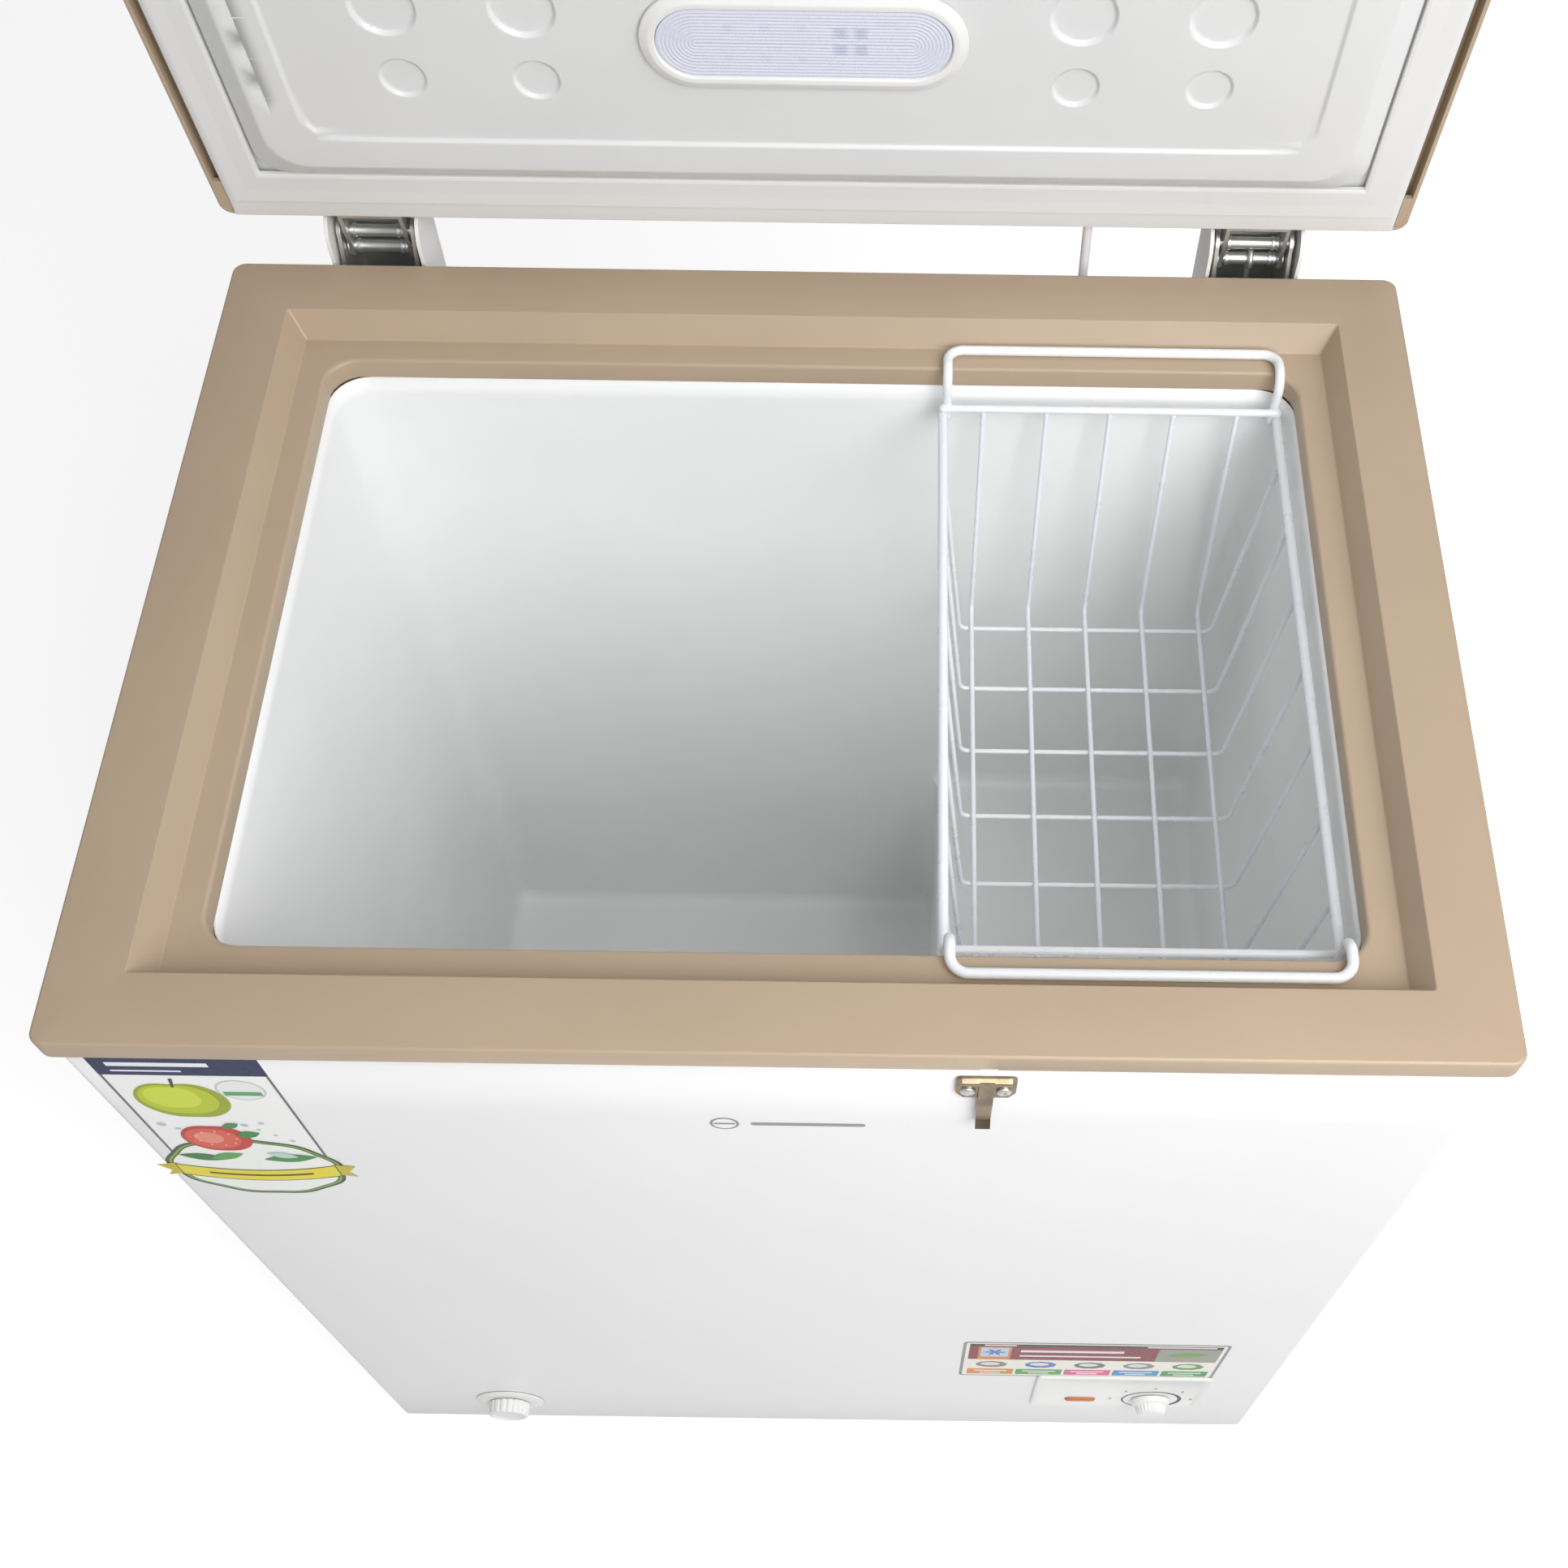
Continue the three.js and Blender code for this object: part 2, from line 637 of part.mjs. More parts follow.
// ---- Lock catch on the front ----
function lockCatch() {
  const thick = 1.5;
  const skin = panelFront - gap;
  const plate = forward(roundedRect(catchX - catchPlateWidth / 2, catchX + catchPlateWidth / 2,
    catchTop - catchPlateHeight, catchTop, 3), skin, thick, 3);
  const rib = alongX(outline([
    [skin, catchTop - 5], [skin - 4, catchTop - 5], [skin - 4, catchTop - 1], [skin, catchTop],
  ]), catchX - catchPlateWidth / 2 + 3, catchX + catchPlateWidth / 2 - 3);
  const tongue = alongX(outline([
    [skin, catchTop - 6], [skin, catchTop - 30], [skin - 2, catchTop - 44],
    [skin - tongueFoot + 2, tongueBottom], [skin - tongueFoot, tongueBottom + 1.4],
    [skin - 4, catchTop - 42], [skin - 2.6, catchTop - 30], [skin - 2.6, catchTop - 6],
  ]), catchX - tongueWidth / 2, catchX + tongueWidth / 2);
  const holes = [-1, 1].map((s) => forward(
    disc(catchX + s * catchScrewX, catchScrewZ, catchScrewRadius + gap), skin + 1, 6));
  return holes.reduce((body, hole) => body.subtract(hole), union(plate, rib, tongue));
}
place('lock_catch', lockCatch(), 'nickel');
for (const [side, s] of [['left', -1], ['right', 1]]) {
  const face = panelFront - gap - 1.5 - gap;
  const x = catchX + s * catchScrewX;
  place(`catch_screw_${side}`, union(
    forward(disc(x, catchScrewZ, catchScrewRadius), panelFront + 8, panelFront + 9 - face, 3),
    forward(disc(x, catchScrewZ, 4), face, 1.9, 3)), 'zinc');
}

// ---- Basket ----
function basket() {
  const left = basketLeft;
  const right = basketLeft + basketWidth;
  const bottom = rimZ - basketDepth;
  const y = basketHalfDepth;
  const longPitch = (basketWidth / 2 - longWireInset) / 2;
  const crossPitch = (basketHalfDepth - crossWireInset) / 3;
  const handleZ = recessFloor + gap + railRadius;
  const handleFoot = y + railRadius - wireWeld;
  const handleLeft = left + railRadius - wireWeld;
  const handleRight = right - railRadius + wireWeld;
  const pieces = [];
  for (const x of [left, right]) {
    pieces.push(cylinder(railRadius, [x, -y - railRadius, rimZ], [x, y + railRadius, rimZ], 8));
  }
  for (const end of [-1, 1]) {
    const rodZ = rimZ + railRadius + rimRodRadius - wireWeld;
    const rodEnd = railRadius + 0.5;
    pieces.push(cylinder(rimRodRadius, [left - rodEnd, end * y, rodZ], [right + rodEnd, end * y, rodZ], 8));
    pieces.push(wire(bent([
      [handleLeft, end * handleFoot, rimZ - railRadius], [handleLeft, end * handleFoot, handleZ + 3],
      [handleLeft, end * handleReach, handleZ], [handleRight, end * handleReach, handleZ],
      [handleRight, end * handleFoot, handleZ + 3], [handleRight, end * handleFoot, rimZ - railRadius],
    ], 10), railRadius, 8));
  }
  for (let i = -2; i <= 2; i += 1) {
    const x = basketMiddle + i * longPitch;
    const z = bottom + wireRadius;
    pieces.push(wire(bent([
      [x, -y, rimZ + 5], [x, -y + endTaper, z], [x, y - endTaper, z], [x, y, rimZ + 5],
    ], 6, 2), wireRadius));
  }
  for (let i = -3; i <= 3; i += 1) {
    const z = bottom - wireRadius + wireWeld;
    pieces.push(wire(bent([
      [left, i * crossPitch, rimZ], [left + wallTaper, i * crossPitch, z],
      [right - wallTaper, i * crossPitch, z], [right, i * crossPitch, rimZ],
    ], 6, 2), wireRadius));
  }
  return union(...pieces);
}
place('basket', basket(), 'wire');

// ---- Hinges ----
function hingeBracket(x, hasGuide) {
  const back = panelBack + gap;
  const bottom = pivotZ - bracketLength;
  const web = panelBack + bracketDepth;
  const underCollar = lipBottom - gap - 1;
  const cheek = new THREE.Shape();
  cheek.moveTo(back, bottom).lineTo(web, bottom).lineTo(web, pivotZ - pivotAboveCollar - 2);
  cheek.lineTo(pivotY + 8, pivotZ + 4.1);
  cheek.absarc(pivotY, pivotZ, 9, Math.PI * 0.15, Math.PI);
  cheek.lineTo(halfDepth + 3, lipBottom + 2).lineTo(halfDepth + 3, underCollar);
  cheek.lineTo(back, underCollar).closePath();
  const cheeks = [-1, 1].map((s) => {
    const [a, b] = [x + s * cheekHalf, x + s * (cheekHalf - cheekWall)];
    return alongX(cheek, Math.min(a, b), Math.max(a, b), 8);
  });
  const flanges = [-1, 1].map((s) => {
    const [a, b] = [x + s * (cheekHalf - 1), x + s * (cheekHalf + 15)];
    return block(Math.min(a, b), Math.max(a, b), back, back + cheekWall, bottom, underCollar);
  });
  const webPlate = block(x - cheekHalf, x + cheekHalf, web - cheekWall, web, bottom,
    pivotZ - pivotAboveCollar - 2);
  let body = union(...cheeks, ...flanges, webPlate);
  if (hasGuide) {
    const z = pivotZ - guideDrop;
    const slot = block(x - rodRadius - gap, x + rodRadius + gap,
      pivotY - rodRadius - 4, pivotY + rodRadius + 4, z - 9, z + 9);
    body = body.add(block(x - cheekHalf + 1, x + cheekHalf - 1, back + 6, web - 1, z, z + cheekWall)
      .subtract(slot));
  }
  const bore = cylinder(pinRadius + gap, [x - 60, pivotY, pivotZ], [x + 60, pivotY, pivotZ]);
  return body.subtract(bore);
}

function hingeCover(x) {
  const front = panelBack + gap + cheekWall + gap;
  const aboveCollar = halfDepth + 3;
  const back = panelBack + bracketDepth + 4;
  const bottom = pivotZ - bracketLength - 10;
  const nose = pivotBehindCollar - 3;
  const side = new THREE.Shape();
  side.moveTo(front, bottom).lineTo(back, bottom).lineTo(back, pivotZ + nose);
  side.lineTo(pivotY, pivotZ + nose);
  side.absarc(pivotY, pivotZ, nose, Math.PI / 2, Math.PI);
  side.lineTo(aboveCollar, lipBottom + 2).lineTo(front, lipBottom - gap - 1).closePath();
  const walls = [-1, 1].map((s) => {
    const [a, b] = [x + s * coverHalf, x + s * (coverHalf - coverWall)];
    return alongX(side, Math.min(a, b), Math.max(a, b), 6);
  });
  const backWall = block(x - coverHalf, x + coverHalf, back - coverWall, back, bottom, pivotZ + nose);
  return union(...walls, backWall);
}

// A pin along X: heads outside the faces it holds, and a thicker sleeve between the ears.
function hingePin(centre, faceHalf) {
  const sleeve = earHalf - earWall - gap - 1;
  const head = faceHalf + gap;
  const half = [
    [pinRadius, sleeve], [pinRadius, head], [pinHead, head], [pinHead, head + 1.2], [0, head + 1.2],
  ];
  const profile = [
    ...half.map(([r, x]) => [r, -x]).reverse(),
    [pinRadius + 0.6, -sleeve], [pinRadius + 0.6, sleeve],
    ...half,
  ];
  return turnedAlongX(profile, centre, 14);
}

// Spring pin's place in the closed lid, from its place below the pivot with the lid open.
const springPinY = pivotY + springArm * Math.sin(lidOpenAngle);
const springPinZ = pivotZ - springArm * Math.cos(lidOpenAngle);

function lidLeaf(x) {
  const web = halfDepth + gap;
  const ear = (x0) => {
    const points = [];
    for (const px of [x0, x0 + earWall]) {
      for (const z of [pivotZ - 7.5, pivotZ + 9]) points.push(new THREE.Vector3(px, web, z));
      for (const [cy, cz, r] of [[pivotY, pivotZ, 7.4], [springPinY, springPinZ, 6]]) {
        for (let i = 0; i < 16; i += 1) {
          const angle = (i / 16) * Math.PI * 2;
          points.push(new THREE.Vector3(px, cy + r * Math.cos(angle), cz + r * Math.sin(angle)));
        }
      }
    }
    return solid(new ConvexGeometry(points));
  };
  const plate = block(x - earHalf, x + earHalf, web, web + earWall, pivotZ - 7.5, pivotZ + 32);
  const body = union(plate, ear(x - earHalf), ear(x + earHalf - earWall));
  const bores = [[pivotY, pivotZ], [springPinY, springPinZ]].map(([y, z]) => cylinder(
    pinRadius + gap, [x - 60, y, z], [x + 60, y, z]));
  return body.subtract(bores[0]).subtract(bores[1]);
}

for (const [side, sx] of [['left', -1], ['right', 1]]) {
  const x = sx * hingeOffset;
  place(`hinge_bracket_${side}`, hingeBracket(x, sx > 0), 'zinc');
  place(`hinge_cover_${side}`, hingeCover(x), 'white');
  place(`hinge_pin_${side}`, hingePin([x, pivotY, pivotZ], cheekHalf), 'zinc');
  place(`lid_leaf_${side}`, lidLeaf(x), 'zinc', lid);
  place(`spring_pin_${side}`, hingePin([x, springPinY, springPinZ], earHalf), 'zinc', lid);
}

// Counterbalance of the right hinge: a rod hung on the spring pin, through the guide plate,
// with a spring between the plate and a nut on the rod's end.
function springRod() {
  const eyeZ = pivotZ - springArm;
  const end = pivotZ - guideDrop - springLength - 16;
  const eye = cylinder(pinRadius + 0.6 + gap + 2.2, [hingeOffset - 2.5, pivotY, eyeZ],
    [hingeOffset + 2.5, pivotY, eyeZ], 16);
  const stem = cylinder(rodRadius, [hingeOffset, pivotY, end], [hingeOffset, pivotY, eyeZ - 4], 10);
  return union(eye, stem).subtract(cylinder(pinRadius + 0.6 + gap, [hingeOffset - 9, pivotY, eyeZ],
    [hingeOffset + 9, pivotY, eyeZ], 16));
}
function rodNut() {
  const top = pivotZ - guideDrop - springLength - gap;
  const washer = cylinder(springRadius + 1, [hingeOffset, pivotY, top - 2], [hingeOffset, pivotY, top], 16);
  const nut = cylinder(6, [hingeOffset, pivotY, top - 8], [hingeOffset, pivotY, top - 1.5], 6);
  return union(washer, nut).subtract(cylinder(rodRadius + gap, [hingeOffset, pivotY, top - 20],
    [hingeOffset, pivotY, top + 9], 10));
}
function coilSpring() {
  const turns = 7;
  const stepsPerTurn = 8;
  const wireSize = 1.4;
  const top = pivotZ - guideDrop - gap - wireSize;
  const run = springLength - 2 * gap - 2 * wireSize;
  const stations = [];
  for (let i = 0; i <= turns * stepsPerTurn; i += 1) {
    const angle = (i / stepsPerTurn) * Math.PI * 2;
    stations.push(new THREE.Vector3(hingeOffset + (springRadius - wireSize) * Math.cos(angle),
      pivotY + (springRadius - wireSize) * Math.sin(angle), top - (run * i) / (turns * stepsPerTurn)));
  }
  return wire(stations, wireSize);
}
place('spring_rod', springRod(), 'zinc');
place('rod_nut', rodNut(), 'zinc');
place('lid_spring', coilSpring(), 'zinc');

// ---- Lid, drawn shut ----
const frameBottom = lidBottom + 0.8;
const topSheet = lidTop - 3.4;
const flangeTop = lidBottom + gasketHeight + gap + innerPanelWall;
const lampY = halfDepth - lampFromHinge;
const plugFace = lidBottom - plugHeight;

place('lid_frame', slab(0, frameBottom, lidTop, lipCorner)
  .subtract(slab(lidFrameWall, frameBottom - 1, topSheet + sheet + gap, 2))
  .subtract(slab(lidFrameWall + 6, topSheet, lidTop + 1, 2)), 'beige', lid);
place('lid_top_panel', slab(lidFrameWall + gap, topSheet, topSheet + sheet, 2), 'white', lid);
const gasketInset = lidFrameWall + 1.5;
place('lid_gasket', slab(gasketInset, lidBottom, lidBottom + gasketHeight)
  .subtract(slab(gasketInset + gasketWidth, lidBottom - 1, lidBottom + gasketHeight + 1)), 'gasket', lid);

function lampPocket(grow, z0, z1) {
  const inset = grow - lensBorder;
  return prism(stadium(0, lampY, lampHalfLength + inset, lampHalfWidth + inset), z0, z1, 4);
}
function lidInnerPanel() {
  const flangeBottom = flangeTop - innerPanelWall;
  const face = plugInset + plugSlope;
  const outer = union(slab(lidFrameWall + gap, flangeBottom, flangeTop, 2),
    taper(plugInset, flangeTop, face, plugFace));
  const inner = taper(plugInset + innerPanelWall, flangeTop + 0.1,
    face + innerPanelWall, plugFace + innerPanelWall);
  return outer.subtract(inner).subtract(lampPocket(gap, plugFace - 1, flangeTop));
}
place('lid_inner_panel', lidInnerPanel(), 'liner', lid);
place('lid_foam', union(
  slab(lidFrameWall + gap, flangeTop + gap, topSheet - gap, 2),
  taper(plugInset + innerPanelWall + gap, flangeTop + gap + 0.1, plugInset + plugSlope + innerPanelWall,
    plugFace + innerPanelWall + gap))
  .subtract(lampPocket(2, plugFace - 1, flangeTop + 10)), 'foam', lid);
const bezelOutline = stadium(0, lampY, lampHalfLength, lampHalfWidth);
place('lamp_bezel', prism(bezelOutline, plugFace - gap - 2.4, plugFace - gap, 4)
  .subtract(lampPocket(0, plugFace - 9, plugFace + 9)), 'white', lid);
place('lamp_lens', lampPocket(-gap, plugFace - 2.2, plugFace + 1), 'lens', lid);
place('lamp_board', prism(stadium(0, lampY, lampHalfLength - 2 * lensBorder, lampHalfWidth - 2 * lensBorder),
  flangeTop + 3, flangeTop + 4.6, 3), 'board', lid);

// ---- Handle and key lock on the lid's front edge, drawn shut ----
const handle = { half: 35, depth: 26, wall: 3, top: 842, bottom: 716 };
const lockZ = 738;
const lockRadius = 8;
const camReach = 26;
const handleFace = -halfDepth - gap - handle.depth;
function lidHandle() {
  const back = -halfDepth - gap;
  const shell = alongX(outline([
    [back, handle.top], [back, handle.bottom + 2], [handleFace + 6, handle.bottom],
    [handleFace, handle.bottom + 6], [handleFace, handle.top - 16], [handleFace + 8, handle.top],
  ]), catchX - handle.half, catchX + handle.half);
  const hollow = block(catchX - handle.half + handle.wall, catchX + handle.half - handle.wall,
    handleFace + handle.wall, back + 1, handle.bottom - 1, frameBottom);
  return shell.subtract(hollow).subtract(
    forward(disc(catchX, lockZ, lockRadius + gap), back, handle.depth + 2, 8));
}
// The cam lies sideways when unlocked. Turned down, its hooked end stands under the catch's foot.
function lockCylinder() {
  const inside = handleFace + handle.wall + gap;
  const camWall = 2;
  const camHalf = 5;
  const hookReach = 20;
  const key = { half: 0.8, depth: 2, height: 4 };
  const barrel = forward(disc(catchX, lockZ, lockRadius), inside + camWall, handle.wall + camWall + 2.5, 8);
  const arm = block(catchX - camReach, catchX + camHalf + 1, inside, inside + camWall,
    lockZ - camHalf, lockZ + camHalf);
  const hook = block(catchX - camReach, catchX - camReach + camWall, inside, inside + hookReach,
    lockZ - camHalf + 1, lockZ + camHalf - 1);
  const keyway = block(catchX - key.half, catchX + key.half, handleFace - 9, handleFace + key.depth,
    lockZ - key.height, lockZ + key.height);
  return union(barrel, arm, hook).subtract(keyway);
}
place('lid_handle', lidHandle(), 'beige', lid);
place('lock_cylinder', lockCylinder(), 'nickel', lid);

// ---- Lamp cable from the cabinet's back to the lid's hinge edge ----
const glandOut = 4;
place('cable_gland', throughBack(cableRadius + 1.5, -8, 1, cableX, cableHoleZ)
  .add(throughBack(cableRadius + 4, gap, glandOut, cableX, cableHoleZ)), 'white');
const cableRoute = new THREE.CatmullRomCurve3([
  [cableX, panelBack + glandOut + gap, cableHoleZ],
  [cableX, panelBack + 14, cableHoleZ + 1],
  [cableX + 0.5, panelBack + 24, cableHoleZ + 12],
  [cableX + 1, panelBack + 28, cableHoleZ + 34],
  [cableX + 0.5, panelBack + 28, cableHoleZ + 62],
  [cableX, panelBack + 26.5, cableHoleZ + 90],
  [cableX - 0.5, panelBack + 25, cableHoleZ + 112],
  [cableX - 0.5, panelBack + 24.6, pivotZ + 17.4],
].map((p) => new THREE.Vector3(...p)), false, 'centripetal');
place('lamp_cable', wire(cableRoute.getSpacedPoints(24), cableRadius, 8), 'white');

// ---- Origin under the middle of the whole ----
freezer.updateMatrixWorld(true);
const extent = new THREE.Box3().setFromObject(freezer, true);
freezer.position.y = -(extent.min.y + extent.max.y) / 2;

export default freezer;
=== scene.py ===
"""The looks of a chest freezer with its lid open, built around its fixed frame.

Shapes are drawn in millimetres about the middle of the cabinet, +Y to the back and +Z up, and
placed() puts them into the frame in metres. The lid's pieces are drawn shut and opened() turns
them about the hinge pins to where the lid stands at rest.
"""

import json
import math

import bmesh
import bpy
import numpy as np
from mathutils import Matrix, Vector


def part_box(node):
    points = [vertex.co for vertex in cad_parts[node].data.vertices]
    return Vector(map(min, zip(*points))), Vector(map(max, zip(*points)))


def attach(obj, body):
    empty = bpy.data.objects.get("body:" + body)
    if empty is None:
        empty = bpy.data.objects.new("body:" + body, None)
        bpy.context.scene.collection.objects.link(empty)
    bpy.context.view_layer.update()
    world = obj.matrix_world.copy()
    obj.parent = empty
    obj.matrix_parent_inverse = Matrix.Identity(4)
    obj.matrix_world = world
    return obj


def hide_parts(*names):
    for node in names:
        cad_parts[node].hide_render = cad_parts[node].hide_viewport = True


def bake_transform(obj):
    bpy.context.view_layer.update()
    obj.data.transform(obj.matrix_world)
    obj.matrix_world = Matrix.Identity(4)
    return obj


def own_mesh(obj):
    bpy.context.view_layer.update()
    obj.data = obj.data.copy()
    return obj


bl_info = {
    "name": "Chest Freezer",
    "version": (1, 0, 0),
    "blender": (4, 5, 0),
    "location": "View3D > Sidebar > Freezer",
    "description": "Builds the mouldings, sheet metal, wire basket, hinges and labels of a chest freezer",
    "category": "Add Mesh",
}

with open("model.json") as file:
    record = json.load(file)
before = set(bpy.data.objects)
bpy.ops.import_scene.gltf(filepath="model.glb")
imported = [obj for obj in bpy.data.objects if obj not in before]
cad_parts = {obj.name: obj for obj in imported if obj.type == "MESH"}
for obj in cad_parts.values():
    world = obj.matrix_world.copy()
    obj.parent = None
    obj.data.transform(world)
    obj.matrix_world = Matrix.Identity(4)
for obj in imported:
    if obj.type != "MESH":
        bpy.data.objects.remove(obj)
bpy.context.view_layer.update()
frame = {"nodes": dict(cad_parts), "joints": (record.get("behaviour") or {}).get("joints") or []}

MM = 0.001
MIDDLE_Y = (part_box("collar")[0].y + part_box("collar")[1].y) / 2


def box_mm(node):
    """Lowest and highest corner of a frame node, in millimetres about the cabinet's middle."""
    shift = Vector((0, MIDDLE_Y, 0))
    return [np.array(corner - shift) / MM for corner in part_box(node)]


def joint(name):
    return next(j for j in frame["joints"] if j["name"] == name)


HALF_X, HALF_Y, RIM_Z = box_mm("collar")[1]
LIP_HEIGHT = 15  # of the collar's outer edge, which hangs over the cabinet's sheet
LIP_Z = RIM_Z - LIP_HEIGHT
(_, PANEL_FRONT, PANEL_FOOT), (PANEL_SIDE, _, PANEL_TOP) = box_mm("cabinet_wrapper")
PANEL_BACK = -PANEL_FRONT
PIVOT_X, PIVOT_Y, PIVOT_Z = (np.array(joint("lid_hinge")["pos_m"]) - (0, MIDDLE_Y, 0)) / MM
OPEN_ANGLE = -math.radians(joint("lid_hinge")["range_deg"][0])
SEAT_GAP, LID_THICKNESS, PLUG_DEPTH = 0.4, 47, 9
LID_SEAT = RIM_Z + SEAT_GAP
LID_TOP = LID_SEAT + LID_THICKNESS
PLUG_FACE = LID_SEAT - PLUG_DEPTH
HINGE_SHEET = 2.5  # thickness of the pressed sheet that brackets and leaves are made of


# ---------------------------------------------------------------- shapes as arrays


def placed(points):
    """Millimetres about the cabinet's middle to metres in the frame."""
    return np.asarray(points, float) * MM + (0, MIDDLE_Y, 0)


def opened(points):
    """Points of the shut lid, turned about the hinge pins by the angle at which the lid stands."""
    points = np.asarray(points, float)
    y, z = points[..., 1] - PIVOT_Y, points[..., 2] - PIVOT_Z
    c, s = math.cos(OPEN_ANGLE), math.sin(OPEN_ANGLE)
    return np.stack([points[..., 0], PIVOT_Y + y * c + z * s, PIVOT_Z - y * s + z * c], -1)


def closed_again(points):
    """The same points in millimetres with the lid turned back, from where they are in the frame."""
    points = (np.asarray(points, float) - (0, MIDDLE_Y, 0)) / MM
    y, z = points[..., 1] - PIVOT_Y, points[..., 2] - PIVOT_Z
    c, s = math.cos(OPEN_ANGLE), math.sin(OPEN_ANGLE)
    return np.stack([points[..., 0], PIVOT_Y + y * c - z * s, PIVOT_Z + y * s + z * c], -1)


def catmull_rom(knots, steps):
    """Cubic spans through the knots, each span's ends leaving along half the step between their
    neighbours, with the ends' own steps doubled on."""
    ends = np.concatenate([[2 * knots[0] - knots[1]], knots, [2 * knots[-1] - knots[-2]]])
    t = np.linspace(0, 1, steps, endpoint=False)[:, None]
    spans = []
    for a, b, c, d in zip(ends[:-3], ends[1:-2], ends[2:-1], ends[3:]):
        spans.append(b + t * (c - a) / 2 + t**2 * (a - 2.5 * b + 2 * c - d / 2) + t**3 * (1.5 * b - 1.5 * c
            + (d - a) / 2))
    return np.concatenate([*spans, knots[-1:]])


def skin(points, round_u=False, round_v=False):
    """Four-sided faces between neighbours of a grid of points; round_u and round_v join its ends."""
    n, m = points.shape[:2]
    index = np.arange(n * m).reshape(n, m)
    if round_u:
        index = np.vstack([index, index[:1]])
    if round_v:
        index = np.hstack([index, index[:, :1]])
    corners = [index[:-1, :-1], index[1:, :-1], index[1:, 1:], index[:-1, 1:]]
    return points.reshape(-1, 3), np.stack(corners, -1).reshape(-1, 4).tolist()


def polygon(points, turned_over=False):
    """One flat face with these corners."""
    order = list(range(len(points)))
    return np.asarray(points, float), [order[::-1] if turned_over else order]


def joined(*surfaces):
    """Several surfaces as one list of points and faces."""
    points, faces, start = [], [], 0
    for part_points, part_faces in surfaces:
        points.append(part_points)
        faces += [[corner + start for corner in face] for face in part_faces]
        start += len(part_points)
    return np.concatenate(points), faces


def eased(points, radii, steps=5, closed=True):
    """A line whose corners are replaced by arcs: the rational curve from the arc's start to its
    end, with the corner as control point weighted by the sine of half the angle there."""
    points = np.asarray(points, float)
    radii = np.broadcast_to(radii, len(points))
    line = []
    for i, corner in enumerate(points):
        ends = not closed and i in (0, len(points) - 1)
        if ends or radii[i] <= 0:
            line.append(corner[None])
            continue
        before = points[i - 1] - corner
        after = points[(i + 1) % len(points)] - corner
        before, after = before / np.linalg.norm(before), after / np.linalg.norm(after)
        half = math.acos(np.clip(before @ after, -1, 1)) / 2
        reach = radii[i] / math.tan(half)
        t = np.linspace(0, 1, steps + 1)[:, None]
        weights = [(1 - t) ** 2, 2 * t * (1 - t) * math.sin(half), t**2]
        knots = [corner + before * reach, corner, corner + after * reach]
        line.append(sum(w * k for w, k in zip(weights, knots)) / sum(weights))
    return np.concatenate(line)


def finer(line, step):
    """The same line with points added so that none are further apart than step."""
    pieces = [line[:1]]
    for a, b in zip(line[:-1], line[1:]):
        count = max(1, math.ceil(np.linalg.norm(b - a) / step))
        pieces.append(a + (b - a) * np.linspace(0, 1, count + 1)[1:, None])
    return np.concatenate(pieces)


def rectangles(inset, height, corner, x_stops=(), y_stops=(), back=0, arc=7):
    """Rounded rectangles, one for each inset: four quarter circles of the corner radius about
    centres that lie inset plus radius inside the collar's outline, joined by straight sides with
    stops at shares of their half length. back moves the back side inwards by that much more."""
    inset, height, corner = np.broadcast_arrays(*(np.atleast_1d(v).astype(float) for v in (inset, height,
        corner)))
    back = np.broadcast_to(back, inset.shape)
    x, y = (HALF_X - inset - corner)[:, None], (HALF_Y - inset - corner)[:, None]
    x_stops, y_stops = np.asarray(x_stops, float)[None], np.asarray(y_stops, float)[None]
    runs = []
    for k, (sx, sy) in enumerate([(-1, -1), (1, -1), (1, 1), (-1, 1)]):
        a = math.pi + (k + np.linspace(0, 1, arc + 1)[None]) * math.pi / 2
        runs.append((sx * x + corner[:, None] * np.cos(a), sy * y + corner[:, None] * np.sin(a)))
        side = 1 if k in (0, 1) else -1
        if k % 2 == 0:
            runs.append((side * x * x_stops, -side * (y + corner[:, None]) + 0 * x_stops))
        else:
            runs.append((side * (x + corner[:, None]) + 0 * y_stops, side * y * y_stops))
    xs = np.hstack([run[0] for run in runs])
    ys = np.hstack([run[1] for run in runs])
    ys = np.where(ys > 0, ys - back[:, None] * np.clip(ys / (HALF_Y - inset[:, None]), 0, 1), ys)
    return np.stack([xs, ys, height[:, None] + 0 * xs], -1)


def slab_edge(outline, low, high, axis):
    """A flat outline carried from low to high along an axis, with both ends closed."""
    outline = np.asarray(outline, float)
    rings = np.stack([np.insert(outline, axis, place, axis=1) for place in (low, high)])
    return joined(skin(rings, round_v=True), polygon(rings[0]), polygon(rings[1], True))


def turned(profile, centre, axis=2, steps=32, radius_of=None):
    """A profile of radius and height turned about an axis through centre. radius_of, if given,
    changes the radius by the angle and the height."""
    profile = np.asarray(profile, float)
    angle = np.linspace(0, 2 * math.pi, steps, endpoint=False)[:, None]
    radius, height = profile[None, :, 0], profile[None, :, 1] + 0 * angle
    radius = radius + 0 * angle if radius_of is None else radius_of(radius, angle, height)
    parts = [radius * np.cos(angle), radius * np.sin(angle)]
    parts.insert(axis, height)
    return skin(np.stack(parts, -1) + np.asarray(centre, float), round_u=True)


